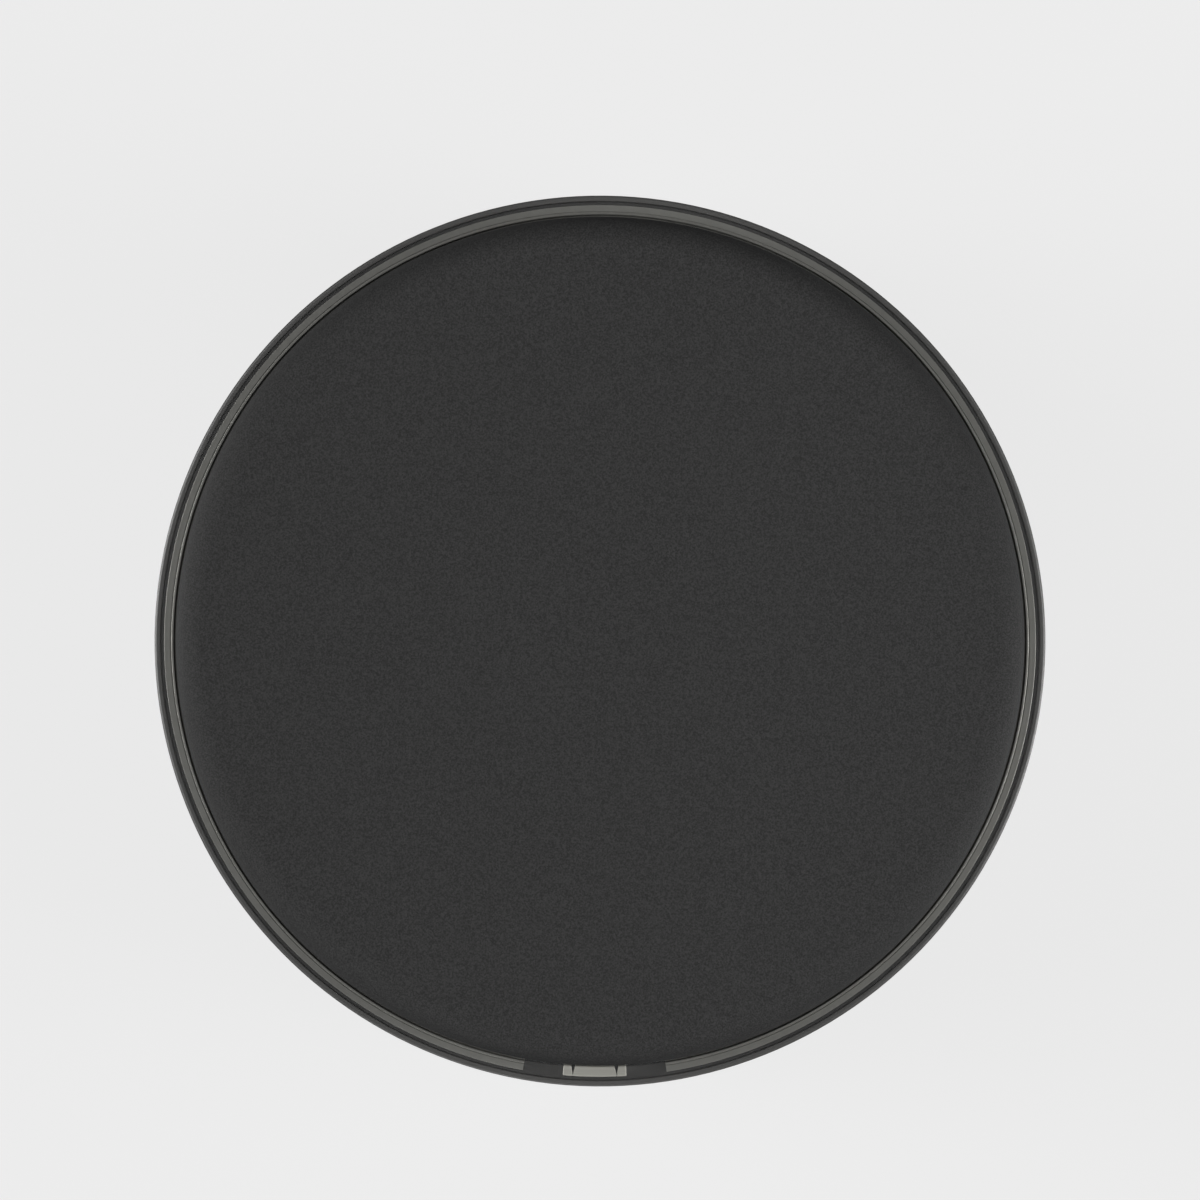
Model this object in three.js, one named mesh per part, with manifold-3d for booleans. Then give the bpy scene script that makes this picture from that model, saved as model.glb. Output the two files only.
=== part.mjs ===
// A French press without a handle: a tall double-walled cup with a flush round lid,
// and a wide, flat, disc-shaped knob on top that pushes a filter down through the cup.
//
// Millimetres, +Z up. The origin is at the centre of the foot, on the table.
// The pouring notch in the lid faces -Y. The plunger is all the way down.

import * as THREE from "three";
import { mergeVertices } from "three/addons/utils/BufferGeometryUtils.js";
import Module from "manifold-3d";

const wasm = await Module();
wasm.setup();

// ---- Overall sizes ----
const OUTER_RADIUS = 46;
const RIM_HEIGHT = 166;
const KNOB_RISE = 12;

// ---- Clearances ----
const SEAT_GAP = 0.3;
const SLIDE_GAP = 0.4;
const ROD_CLEARANCE = 0.12;
const SEAL_CLEARANCE = 0.15;
const KNOB_CLEARANCE = 0.4;

// ---- Double-walled cup ----
const OUTER_WALL = 2;
const JACKET_GAP = 3.2;
const BEAKER_WALL = 1.8;
const BEAKER_FLOOR = 3;
const BEAKER_CORNER = 5;
const FLANGE_DROP = 6;
const FLANGE_THICKNESS = 2;
const FOOT_DROP = 1.3;
const FOOT_DEPTH = 0.9;
const FOOT_INNER_RADIUS = 31;
const FOOT_WIDTH = 9;
const BASE_PLATE = 3;
const BASE_UPSTAND = 6;
const BASE_UPSTAND_WALL = 1.8;
const CUSHION_HEIGHT = 3;
const CUSHION_INNER_RADIUS = 20;
const CUSHION_WIDTH = 12;
const RIM_SEAL_THICKNESS = 1.2;

// ---- Rim and lid ----
const RIM_LIP = 0.6;
const REBATE_DEPTH = 2;
const GROOVE_WIDTH = 0.4;
const COLLAR_BAND = 1;
const COLLAR_RISE = 0.2;
const COLLAR_BEVEL = 0.2;
const COLLAR_WALL = 1.5;
const KNOB_RECESS = 1;
const LEDGE_WIDTH = 1.6;
const LEDGE_THICKNESS = 1;
const DECK_THICKNESS = 2;
const SKIRT_LENGTH = 10;
const SKIRT_WALL = 1.8;
const SKIRT_FOOT = 1.5;
const SKIRT_FOOT_WIDTH = 1;
const SKIRT_INSET = 2;
const GASKET_BAND = 0.8;
const GASKET_FIN = 1.2;
const STRAINER_SLOTS = 9;
const STRAINER_STEP = 12;
const STRAINER_SLOT_WIDTH = 2;
const STRAINER_SLOT_LENGTH = 12;
const BOSS_WALL = 2.7;
const BUSH_WALL = 2.9;
const BUSH_FLANGE = 2;
const BUSH_FLANGE_HEIGHT = 1.2;
const ROD_SEAL_HEIGHT = 2.2;

// ---- Pouring notch ----
const NOTCH_DIRECTION = -90;
const NOTCH_ANGLE = 19;
const LIP_ANGLE = 8.4;
const LIP_THICKNESS = 0.8;
const LIP_REACH = 3;
const LIP_SLIT_ANGLE = 2.9;
const LIP_SLIT_WIDTH = 0.25;
const LIP_SLIT_STOP = 0.4;

// ---- Knob ----
const KNOB_EDGE_RADIUS = 3;
const KNOB_SHELL = 2;
const KNOB_BASE_THICKNESS = 2.2;
const KNOB_POST_RADIUS = 4.5;
const KNOB_HUB_RADIUS = 8;
const INSERT_WALL = 1.6;
const INSERT_LENGTH = 6.5;
const SCREW_COUNT = 3;
const SCREW_CIRCLE = 26;
const SCREW_RADIUS = 1.3;
const SCREW_HEAD_RADIUS = 2.6;
const SCREW_HEAD_HEIGHT = 1.1;
const SCREW_GRIP = 5;
const SCREW_WEB = 0.7;

// ---- Plunger ----
const ROD_RADIUS = 3;
const GROUNDS_ROOM = 8;
const NUT_RADIUS = 7;
const NUT_HEIGHT = 4;
const NUT_FLOOR = 1.2;
const CROSS_PLATE_THICKNESS = 1;
const CROSS_PLATE_INSET = 3;
const CROSS_WINDOWS = 6;
const CROSS_WINDOW_RADIUS = 6.5;
const MESH_THICKNESS = 0.4;
const MESH_RIM_HEIGHT = 5;
const COIL_RADIUS = 1.25;
const SPRING_PLATE_THICKNESS = 1;
const SPRING_PLATE_OUTER_HOLES = 12;
const SPRING_PLATE_INNER_HOLES = 8;
const SPRING_PLATE_OUTER_HOLE_RADIUS = 4;
const SPRING_PLATE_INNER_HOLE_RADIUS = 3;
const HUB_RADIUS = 6;
const HUB_HEIGHT = 8;

// ---- Facets round a turned piece ----
const LARGE = 48;
const SMALL = 20;
const TINY = 12;

// Levels up the axis
const basePlateTop = FOOT_DROP + BASE_PLATE;
const cushionBottom = basePlateTop + SEAT_GAP;
const beakerBottom = cushionBottom + CUSHION_HEIGHT + SEAT_GAP;
const beakerFloorTop = beakerBottom + BEAKER_FLOOR;
const flangeTop = RIM_HEIGHT - FLANGE_DROP;
const rebateFloor = RIM_HEIGHT - REBATE_DEPTH;
const collarTop = RIM_HEIGHT + COLLAR_RISE;
const knobSeat = collarTop - KNOB_RECESS;
const knobBottom = knobSeat + SEAT_GAP;
const knobTop = RIM_HEIGHT + KNOB_RISE;
const deckBottom = flangeTop + SEAT_GAP;
const deckTop = deckBottom + DECK_THICKNESS;
const ledgeBottom = deckTop + SEAT_GAP;
const ledgeTop = ledgeBottom + LEDGE_THICKNESS;
const skirtBottom = deckBottom - SKIRT_LENGTH;
const bossBottom = skirtBottom + SKIRT_FOOT + SEAT_GAP;
const nutBottom = beakerFloorTop + GROUNDS_ROOM;
const crossPlateBottom = nutBottom + NUT_HEIGHT + SEAT_GAP;
const meshBottom = crossPlateBottom + CROSS_PLATE_THICKNESS + SEAT_GAP;
const springPlateBottom = meshBottom + MESH_THICKNESS + SEAT_GAP;
const hubBottom = springPlateBottom + SPRING_PLATE_THICKNESS + SEAT_GAP;
const knobBaseTop = knobBottom + KNOB_BASE_THICKNESS;
const postBottom = knobBaseTop + SEAT_GAP;
const rodBottom = nutBottom + NUT_FLOOR;
const rodTop = postBottom + INSERT_LENGTH;

// Radii, from the outside in
const jacketRadius = OUTER_RADIUS - OUTER_WALL;
const beakerRadius = jacketRadius - JACKET_GAP;
const boreRadius = beakerRadius - BEAKER_WALL;
const seatedRadius = jacketRadius - SEAT_GAP;
const rebateRadius = OUTER_RADIUS - RIM_LIP;
const collarRadius = rebateRadius - GROOVE_WIDTH;
const collarInnerRadius = collarRadius - COLLAR_BAND;
const collarThroatRadius = seatedRadius - COLLAR_WALL;
const deckRadius = collarThroatRadius - SEAT_GAP;
const ledgeRadius = collarThroatRadius - LEDGE_WIDTH;
const skirtRadius = boreRadius - SKIRT_INSET;
const gasketInnerRadius = skirtRadius + SEAT_GAP;
const gasketRadius = boreRadius - SEAL_CLEARANCE;
const rodBoreRadius = ROD_RADIUS + ROD_CLEARANCE;
const rodHoleRadius = ROD_RADIUS + SEAT_GAP;
const bushRadius = rodBoreRadius + BUSH_WALL;
const bossBoreRadius = bushRadius + SEAT_GAP;
const bossRadius = bossBoreRadius + BOSS_WALL;
const knobRadius = collarInnerRadius - KNOB_CLEARANCE;
const knobInnerRadius = knobRadius - KNOB_SHELL;
const knobBaseRadius = knobInnerRadius - SEAT_GAP;
const insertRadius = rodHoleRadius + INSERT_WALL;
const screwHoleRadius = SCREW_RADIUS + SEAT_GAP;
const meshRadius = boreRadius - SLIDE_GAP;
const meshRimRadius = meshRadius - MESH_THICKNESS;
const coilCentreRadius = meshRimRadius - SEAT_GAP - COIL_RADIUS;
const springPlateRadius = coilCentreRadius - COIL_RADIUS - SEAT_GAP;

// ---- Finishes ----
const finish = (colour, roughness, metalness, opacity = 1) =>
  new THREE.MeshStandardMaterial({
    color: colour,
    roughness,
    metalness,
    opacity,
    transparent: opacity < 1,
  });

const smokedWall = finish(0x3a3833, 0.12, 0, 0.45);
const clearBeaker = finish(0xc9ccca, 0.05, 0, 0.3);
const softBlack = finish(0x343434, 0.6, 0);
const matteBlack = finish(0x1c1c1c, 0.55, 0);
const satinGrey = finish(0x686863, 0.38, 0.2);
const blackSilicone = finish(0x161616, 0.85, 0);
const blackAcetal = finish(0x222222, 0.4, 0);
const polishedSteel = finish(0xd6d4cf, 0.12, 1);
const satinSteel = finish(0xb4b5b6, 0.3, 1);
const wovenSteel = finish(0x9fa1a3, 0.45, 1);
const turnedBrass = finish(0xb9924a, 0.3, 1);

const press = new THREE.Group();
const radians = THREE.MathUtils.degToRad;

// A three.js shape as a solid that can be joined and cut.
function solid(geometry) {
  const loose = geometry.index ? geometry.toNonIndexed() : geometry;
  const bare = new THREE.BufferGeometry();
  bare.setAttribute("position", loose.getAttribute("position"));
  const welded = mergeVertices(bare, 1e-4);
  return new wasm.Manifold(
    new wasm.Mesh({
      numProp: 3,
      vertProperties: welded.attributes.position.array,
      triVerts: new Uint32Array(welded.index.array),
    }),
  );
}

// A ring or disc turned about Z from [radius, height] points, listed anticlockwise.
function turned(outline, facets) {
  const points = outline.map(([radius, height]) => new THREE.Vector2(radius, height));
  const onAxis = outline[0][0] === 0;
  if (!onAxis) points.push(points[0].clone());
  return solid(new THREE.LatheGeometry(points, facets).rotateX(Math.PI / 2));
}

// A plain ring between two radii and two heights.
function ring(inner, outer, bottom, top, facets) {
  return turned([[inner, bottom], [outer, bottom], [outer, top], [inner, top]], facets);
}

// A plain upright cylinder standing at x, y.
function post(radius, bottom, top, facets, x = 0, y = 0) {
  const cylinder = new THREE.CylinderGeometry(radius, radius, top - bottom, facets);
  return solid(cylinder.rotateX(Math.PI / 2).translate(x, y, (bottom + top) / 2));
}

// Points along a quarter-like arc, for an outline's rounded corner.
function arc(centreRadius, centreHeight, radius, from, to, steps) {
  return Array.from({ length: steps + 1 }, (_, index) => {
    const angle = radians(from + ((to - from) * index) / steps);
    return [centreRadius + radius * Math.cos(angle), centreHeight + radius * Math.sin(angle)];
  });
}

// Holes of one radius, evenly spread on a circle.
function holes(count, circle, radius, bottom, top, facets) {
  return Array.from({ length: count }, (_, index) => {
    const angle = (2 * Math.PI * index) / count;
    return post(radius, bottom, top, facets, circle * Math.cos(angle), circle * Math.sin(angle));
  });
}

// An upright wedge about Z, from radius zero, centred on one direction.
function wedge(direction, angle, radius, bottom, top) {
  const shape = new THREE.Shape();
  const reach = radius / Math.cos(radians(angle / 2));
  const corner = (turn) => [
    reach * Math.cos(radians(direction + turn)),
    reach * Math.sin(radians(direction + turn)),
  ];
  shape.moveTo(0, 0);
  shape.lineTo(...corner(-angle / 2));
  shape.lineTo(...corner(angle / 2));
  shape.closePath();
  const geometry = new THREE.ExtrudeGeometry(shape, { depth: top - bottom, bevelEnabled: false });
  return solid(geometry.translate(0, 0, bottom));
}

// A box whose length lies along one direction from the axis.
function radialBox(direction, from, to, width, bottom, top) {
  const box = new THREE.BoxGeometry(to - from, width, top - bottom);
  box.translate((from + to) / 2, 0, (bottom + top) / 2).rotateZ(radians(direction));
  return solid(box);
}

function cut(body, tools) {
  return tools.reduce((rest, tool) => rest.subtract(tool), body);
}

function join(body, additions) {
  return additions.reduce((whole, addition) => whole.add(addition), body);
}

function addPiece(name, body, material) {
  const { vertProperties, triVerts } = body.getMesh();
  const geometry = new THREE.BufferGeometry();
  geometry.setAttribute("position", new THREE.BufferAttribute(vertProperties, 3));
  geometry.setIndex(new THREE.BufferAttribute(triVerts, 1));
  geometry.computeVertexNormals();
  const mesh = new THREE.Mesh(geometry, material.clone());
  mesh.name = name;
  press.add(mesh);
}

// ---- Cup ----

// The smoked outer tube, with a rebate inside its top edge that the lid drops into.
function outerWall() {
  const edge = OUTER_WALL * 0.6;
  const lipEdge = RIM_LIP * 0.6;
  return turned([
    [jacketRadius, FOOT_DROP],
    ...arc(OUTER_RADIUS - edge, FOOT_DROP + edge, edge, -90, 0, 3),
    ...arc(OUTER_RADIUS - lipEdge, RIM_HEIGHT - lipEdge, lipEdge, 0, 90, 2),
    [rebateRadius, RIM_HEIGHT],
    [rebateRadius, rebateFloor],
    [jacketRadius, rebateFloor],
  ], LARGE);
}

// The glass beaker that holds the coffee, hung in the outer tube by a flange.
function innerBeaker() {
  const inside = BEAKER_CORNER - BEAKER_WALL;
  return turned([
    [0, beakerBottom],
    ...arc(beakerRadius - BEAKER_CORNER, beakerBottom + BEAKER_CORNER, BEAKER_CORNER, -90, 0, 4),
    [beakerRadius, flangeTop - FLANGE_THICKNESS],
    [seatedRadius, flangeTop - FLANGE_THICKNESS],
    [seatedRadius, flangeTop],
    [boreRadius, flangeTop],
    ...arc(boreRadius - inside, beakerFloorTop + inside, inside, 0, -90, 3),
    [0, beakerFloorTop],
  ], LARGE);
}

// The soft ring that seals the air jacket under the beaker's flange.
function rimSeal() {
  const centre = (beakerRadius + jacketRadius) / 2;
  const height = flangeTop - FLANGE_THICKNESS - SEAT_GAP - RIM_SEAL_THICKNESS;
  return turned(arc(centre, height, RIM_SEAL_THICKNESS, 0, 300, 5), LARGE);
}

// The black cap that closes the outer tube, with a groove underneath for the foot.
function baseCap() {
  const grooveTop = FOOT_DROP + FOOT_DEPTH + SEAT_GAP;
  const grooveInner = FOOT_INNER_RADIUS - SEAT_GAP;
  const grooveOuter = FOOT_INNER_RADIUS + FOOT_WIDTH + SEAT_GAP;
  return turned([
    [0, FOOT_DROP],
    [grooveInner, FOOT_DROP],
    [grooveInner, grooveTop],
    [grooveOuter, grooveTop],
    [grooveOuter, FOOT_DROP],
    [seatedRadius, FOOT_DROP],
    [seatedRadius, basePlateTop + BASE_UPSTAND],
    [seatedRadius - BASE_UPSTAND_WALL, basePlateTop + BASE_UPSTAND],
    [seatedRadius - BASE_UPSTAND_WALL, basePlateTop],
    [0, basePlateTop],
  ], LARGE);
}

function footRing() {
  const outer = FOOT_INNER_RADIUS + FOOT_WIDTH;
  return ring(FOOT_INNER_RADIUS, outer, 0, FOOT_DROP + FOOT_DEPTH, LARGE);
}

function beakerCushion() {
  const outer = CUSHION_INNER_RADIUS + CUSHION_WIDTH;
  return ring(CUSHION_INNER_RADIUS, outer, cushionBottom, cushionBottom + CUSHION_HEIGHT, LARGE);
}

// ---- Lid ----

// The satin ring round the lid: its band shows between the cup's rim and the knob.
function lidCollar() {
  const body = turned([
    [collarThroatRadius, deckBottom],
    [seatedRadius, deckBottom],
    [seatedRadius, rebateFloor + SEAT_GAP],
    [collarRadius, rebateFloor + SEAT_GAP],
    [collarRadius, collarTop - COLLAR_BEVEL],
    [collarRadius - COLLAR_BEVEL, collarTop],
    [collarInnerRadius + COLLAR_BEVEL, collarTop],
    [collarInnerRadius, collarTop - COLLAR_BEVEL],
    [collarInnerRadius, knobSeat],
    [collarThroatRadius, knobSeat],
    [collarThroatRadius, ledgeTop],
    [ledgeRadius, ledgeTop],
    [ledgeRadius, ledgeBottom],
    [collarThroatRadius, ledgeBottom],
  ], LARGE);
  const notch = wedge(NOTCH_DIRECTION, NOTCH_ANGLE, OUTER_RADIUS, ledgeBottom, knobTop);
  return cut(body, [notch]);
}

// The plug inside the collar: a deck with strainer slots, a skirt and the rod's boss.
function lidPlug() {
  const deck = turned([
    [bossBoreRadius, bossBottom],
    [bossRadius, bossBottom],
    [bossRadius, deckBottom],
    [skirtRadius - SKIRT_WALL, deckBottom],
    [skirtRadius - SKIRT_WALL, skirtBottom],
    [skirtRadius + SKIRT_FOOT_WIDTH, skirtBottom],
    [skirtRadius + SKIRT_FOOT_WIDTH, skirtBottom + SKIRT_FOOT],
    [skirtRadius, skirtBottom + SKIRT_FOOT],
    [skirtRadius, deckBottom],
    [deckRadius, deckBottom],
    [deckRadius, deckTop],
    [bossRadius, deckTop],
    [bossRadius, knobSeat],
    [bossBoreRadius, knobSeat],
  ], LARGE);
  const slotEnd = skirtRadius - SKIRT_WALL - STRAINER_SLOT_WIDTH / 2;
  const slots = Array.from({ length: STRAINER_SLOTS }, (_, index) => {
    const direction = NOTCH_DIRECTION + (index - (STRAINER_SLOTS - 1) / 2) * STRAINER_STEP;
    const start = slotEnd - STRAINER_SLOT_LENGTH;
    return radialBox(direction, start, slotEnd, STRAINER_SLOT_WIDTH, skirtBottom, knobTop);
  });
  return cut(deck, slots);
}

// The silicone ring that grips the beaker, with two soft fins.
function lidGasket() {
  const bottom = skirtBottom + SKIRT_FOOT + SEAT_GAP;
  const top = deckBottom - SEAT_GAP;
  const back = gasketInnerRadius + GASKET_BAND;
  const fin = GASKET_FIN / 2;
  const finHeights = [bottom + (top - bottom) / 4, top - (top - bottom) / 4];
  const fins = finHeights.flatMap((height) => [
    [back, height - fin],
    [gasketRadius, height + fin],
    [back, height + 2 * fin],
  ]);
  return turned([
    [gasketInnerRadius, bottom],
    [back, bottom],
    ...fins,
    [back, top],
    [gasketInnerRadius, top],
  ], LARGE);
}

// The steel tongue in the notch: a ramp under the knob's edge that ends in a flat pad,
// level with the collar's band, with two slits that stop short of its outer edge.
function pourLip() {
  const padStart = knobRadius + SEAT_GAP;
  const padEnd = collarRadius;
  const start = padStart - LIP_REACH;
  const low = ledgeBottom + SEAT_GAP;
  const padBottom = knobSeat - LIP_THICKNESS;
  const ramp = turned([
    [start, low],
    [padStart, padBottom],
    [padEnd, padBottom],
    [padEnd, collarTop - COLLAR_BEVEL],
    [padStart, collarTop - COLLAR_BEVEL],
    [padStart, knobSeat],
    [start, low + LIP_THICKNESS],
  ], LARGE * 2);
  const sector = wedge(NOTCH_DIRECTION, LIP_ANGLE, OUTER_RADIUS, low, knobTop);
  const slitEnd = padEnd - LIP_SLIT_STOP;
  const slits = [-LIP_SLIT_ANGLE, LIP_SLIT_ANGLE].map((turn) => {
    const direction = NOTCH_DIRECTION + turn;
    return radialBox(direction, collarThroatRadius, slitEnd, LIP_SLIT_WIDTH, low, knobTop);
  });
  return cut(ramp.intersect(sector), slits);
}

// The plain bearing that guides the rod, pushed up into the plug's boss.
function rodBush() {
  const top = knobSeat - ROD_SEAL_HEIGHT - 2 * SEAT_GAP;
  const flangeHigh = bossBottom - SEAT_GAP;
  const flangeLow = flangeHigh - BUSH_FLANGE_HEIGHT;
  return turned([
    [rodBoreRadius, flangeLow],
    [bushRadius + BUSH_FLANGE, flangeLow],
    [bushRadius + BUSH_FLANGE, flangeHigh],
    [bushRadius, flangeHigh],
    [bushRadius, top],
    [rodBoreRadius, top],
  ], SMALL);
}

function rodSeal() {
  const top = knobSeat - SEAT_GAP;
  return ring(rodBoreRadius, bushRadius, top - ROD_SEAL_HEIGHT, top, SMALL);
}

// ---- Knob ----

const screwPlaces = Array.from({ length: SCREW_COUNT }, (_, index) => {
  const angle = radians(90 + (360 * index) / SCREW_COUNT);
  return [SCREW_CIRCLE * Math.cos(angle), SCREW_CIRCLE * Math.sin(angle)];
});

// The soft black disc with a rolled edge, hollow inside, with posts for the screws.
function knobCap() {
  const roof = knobTop - KNOB_SHELL;
  const innerRoll = Math.max(KNOB_EDGE_RADIUS - KNOB_SHELL, 0.5);
  const shell = turned([
    [0, roof],
    ...arc(knobInnerRadius - innerRoll, roof - innerRoll, innerRoll, 90, 0, 2),
    [knobInnerRadius, knobBottom],
    [knobRadius, knobBottom],
    ...arc(knobRadius - KNOB_EDGE_RADIUS, knobTop - KNOB_EDGE_RADIUS, KNOB_EDGE_RADIUS, 0, 90, 6),
    [0, knobTop],
  ], LARGE);
  const middle = (roof + knobTop) / 2;
  const hub = post(KNOB_HUB_RADIUS, postBottom, middle, SMALL);
  const posts = screwPlaces.map(([x, y]) => post(KNOB_POST_RADIUS, postBottom, middle, SMALL, x, y));
  const screwTop = postBottom + SCREW_GRIP + SEAT_GAP;
  const screwHoles = screwPlaces.map(([x, y]) => post(screwHoleRadius, 0, screwTop, TINY, x, y));
  const insertHole = post(insertRadius + SEAT_GAP, 0, rodTop + SEAT_GAP, SMALL);
  return cut(join(shell, [hub, ...posts]), [insertHole, ...screwHoles]);
}

// The plate that closes the knob from below.
function knobBase() {
  const plate = ring(rodHoleRadius, knobBaseRadius, knobBottom, knobBaseTop, LARGE);
  const headRoom = knobBaseTop - SCREW_WEB;
  const through = screwPlaces.map(([x, y]) => post(screwHoleRadius, 0, knobTop, TINY, x, y));
  const sinks = screwPlaces.map(([x, y]) =>
    post(SCREW_HEAD_RADIUS + SEAT_GAP, 0, headRoom, SMALL, x, y));
  return cut(plate, [...through, ...sinks]);
}

function knobScrew([x, y]) {
  const headTop = knobBaseTop - SCREW_WEB - SEAT_GAP;
  const head = post(SCREW_HEAD_RADIUS, headTop - SCREW_HEAD_HEIGHT, headTop, TINY, x, y);
  const overlap = SCREW_HEAD_HEIGHT / 2;
  const shank = post(SCREW_RADIUS, headTop - overlap, postBottom + SCREW_GRIP, TINY, x, y);
  return join(head, [shank]);
}

function knobInsert() {
  return ring(rodHoleRadius, insertRadius, postBottom, rodTop, SMALL);
}

// ---- Plunger ----

function plungerRod() {
  return post(ROD_RADIUS, rodBottom + SEAT_GAP, rodTop, SMALL);
}

// The nut under the stack, blind so that the rod's end is covered.
function filterNut() {
  return turned([
    [0, nutBottom],
    [NUT_RADIUS, nutBottom],
    [NUT_RADIUS, nutBottom + NUT_HEIGHT],
    [rodHoleRadius, nutBottom + NUT_HEIGHT],
    [rodHoleRadius, rodBottom],
    [0, rodBottom],
  ], SMALL);
}

function crossPlate() {
  const top = crossPlateBottom + CROSS_PLATE_THICKNESS;
  const radius = meshRadius - CROSS_PLATE_INSET;
  const disc = ring(rodHoleRadius, radius, crossPlateBottom, top, LARGE);
  const circle = (NUT_RADIUS + radius) / 2;
  const windows = holes(CROSS_WINDOWS, circle, CROSS_WINDOW_RADIUS, 0, knobTop, SMALL);
  return cut(disc, windows);
}

// The fine mesh disc, its rim folded up round the coil.
function filterMesh() {
  const top = meshBottom + MESH_THICKNESS;
  return turned([
    [rodHoleRadius, meshBottom],
    [meshRadius, meshBottom],
    [meshRadius, meshBottom + MESH_RIM_HEIGHT],
    [meshRimRadius, meshBottom + MESH_RIM_HEIGHT],
    [meshRimRadius, top],
    [rodHoleRadius, top],
  ], LARGE);
}

// The coiled wire round the plate, as a plain ring of its outer size.
function filterCoil() {
  const height = springPlateBottom + COIL_RADIUS;
  return turned(arc(coilCentreRadius, height, COIL_RADIUS, 0, 315, 7), LARGE);
}

function springPlate() {
  const top = springPlateBottom + SPRING_PLATE_THICKNESS;
  const disc = ring(rodHoleRadius, springPlateRadius, springPlateBottom, top, LARGE);
  const outerCircle = springPlateRadius - 2 * SPRING_PLATE_OUTER_HOLE_RADIUS;
  const innerCircle = (HUB_RADIUS + outerCircle) / 2;
  const outer = holes(
    SPRING_PLATE_OUTER_HOLES, outerCircle, SPRING_PLATE_OUTER_HOLE_RADIUS, 0, knobTop, TINY);
  const inner = holes(
    SPRING_PLATE_INNER_HOLES, innerCircle, SPRING_PLATE_INNER_HOLE_RADIUS, 0, knobTop, TINY);
  return cut(disc, [...outer, ...inner]);
}

// The stepped hub that clamps the stack from above.
function filterHub() {
  const waist = (HUB_RADIUS + rodHoleRadius) / 2;
  const step = hubBottom + HUB_HEIGHT / 3;
  return turned([
    [rodHoleRadius, hubBottom],
    [HUB_RADIUS, hubBottom],
    [HUB_RADIUS, step],
    [waist, step + 1],
    [waist, hubBottom + HUB_HEIGHT],
    [rodHoleRadius, hubBottom + HUB_HEIGHT],
  ], SMALL);
}

// ---- Assembly ----

addPiece("outer_wall", outerWall(), smokedWall);
addPiece("inner_beaker", innerBeaker(), clearBeaker);
addPiece("rim_seal", rimSeal(), blackSilicone);
addPiece("base_cap", baseCap(), matteBlack);
addPiece("foot_ring", footRing(), blackSilicone);
addPiece("beaker_cushion", beakerCushion(), blackSilicone);

addPiece("lid_collar", lidCollar(), satinGrey);
addPiece("lid_plug", lidPlug(), matteBlack);
addPiece("lid_gasket", lidGasket(), blackSilicone);
addPiece("pour_lip", pourLip(), polishedSteel);
addPiece("rod_bush", rodBush(), blackAcetal);
addPiece("rod_seal", rodSeal(), blackSilicone);

addPiece("knob_cap", knobCap(), softBlack);
addPiece("knob_base", knobBase(), matteBlack);
addPiece("knob_insert", knobInsert(), turnedBrass);
screwPlaces.forEach((place, index) => {
  addPiece(`knob_screw_${index + 1}`, knobScrew(place), satinSteel);
});

addPiece("plunger_rod", plungerRod(), polishedSteel);
addPiece("filter_hub", filterHub(), satinSteel);
addPiece("spring_plate", springPlate(), satinSteel);
addPiece("filter_coil", filterCoil(), satinSteel);
addPiece("filter_mesh", filterMesh(), wovenSteel);
addPiece("cross_plate", crossPlate(), satinSteel);
addPiece("filter_nut", filterNut(), satinSteel);

export default press;
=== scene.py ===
"""A French press without a handle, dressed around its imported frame.

A tall double-walled cup in smoked plastic holds a clear beaker. A flush round lid sits in its mouth, and a
wide soft-touch disc on top pushes a mesh filter down. Everything is in metres, +Z up, as the frame is.
"""

import logging
import math
from dataclasses import dataclass, field
from enum import Enum
from typing import Any, Iterable, Sequence

import bpy
import numpy as np
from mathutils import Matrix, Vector


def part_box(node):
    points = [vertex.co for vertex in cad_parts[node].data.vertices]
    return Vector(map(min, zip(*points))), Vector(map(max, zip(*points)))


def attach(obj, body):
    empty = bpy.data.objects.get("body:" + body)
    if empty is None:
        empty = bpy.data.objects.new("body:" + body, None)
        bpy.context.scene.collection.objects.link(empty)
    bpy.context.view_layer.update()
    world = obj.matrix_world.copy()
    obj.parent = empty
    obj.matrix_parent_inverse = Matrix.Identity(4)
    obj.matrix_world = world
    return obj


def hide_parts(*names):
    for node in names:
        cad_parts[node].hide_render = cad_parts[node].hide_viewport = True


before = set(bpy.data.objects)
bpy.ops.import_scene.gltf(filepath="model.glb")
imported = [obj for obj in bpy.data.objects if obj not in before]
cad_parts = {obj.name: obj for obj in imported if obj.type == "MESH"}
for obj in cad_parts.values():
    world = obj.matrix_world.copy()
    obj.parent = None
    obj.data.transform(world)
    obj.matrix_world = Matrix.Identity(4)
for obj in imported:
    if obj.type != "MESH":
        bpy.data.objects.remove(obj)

log = logging.getLogger("french_press")

MM = 0.001
TURN = 2 * math.pi
TINY = 1e-9

# How far a corner of an outline is rounded.
SHARP = 0.0
CRISP = 0.1 * MM
BROKEN = 0.2 * MM
EASED = 0.3 * MM
SOFT = 0.4 * MM
ROUND = 0.5 * MM

# How far two shells of one piece run into each other.
OVERLAP = 0.1 * MM

# When a corner is rounded at all, by half of the angle inside it, and how much of a side its arc may take.
FOLDED, STRAIGHT = math.radians(1), math.radians(89)
ARC_SHARE = 0.42


# ---------------------------------------------------------------------------------------------------
# Surfaces worked out with numpy
# ---------------------------------------------------------------------------------------------------


class Detail(Enum):
    """How many columns go round a turned piece."""

    LARGE = 192
    MEDIUM = 96
    SMALL = 48


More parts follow.
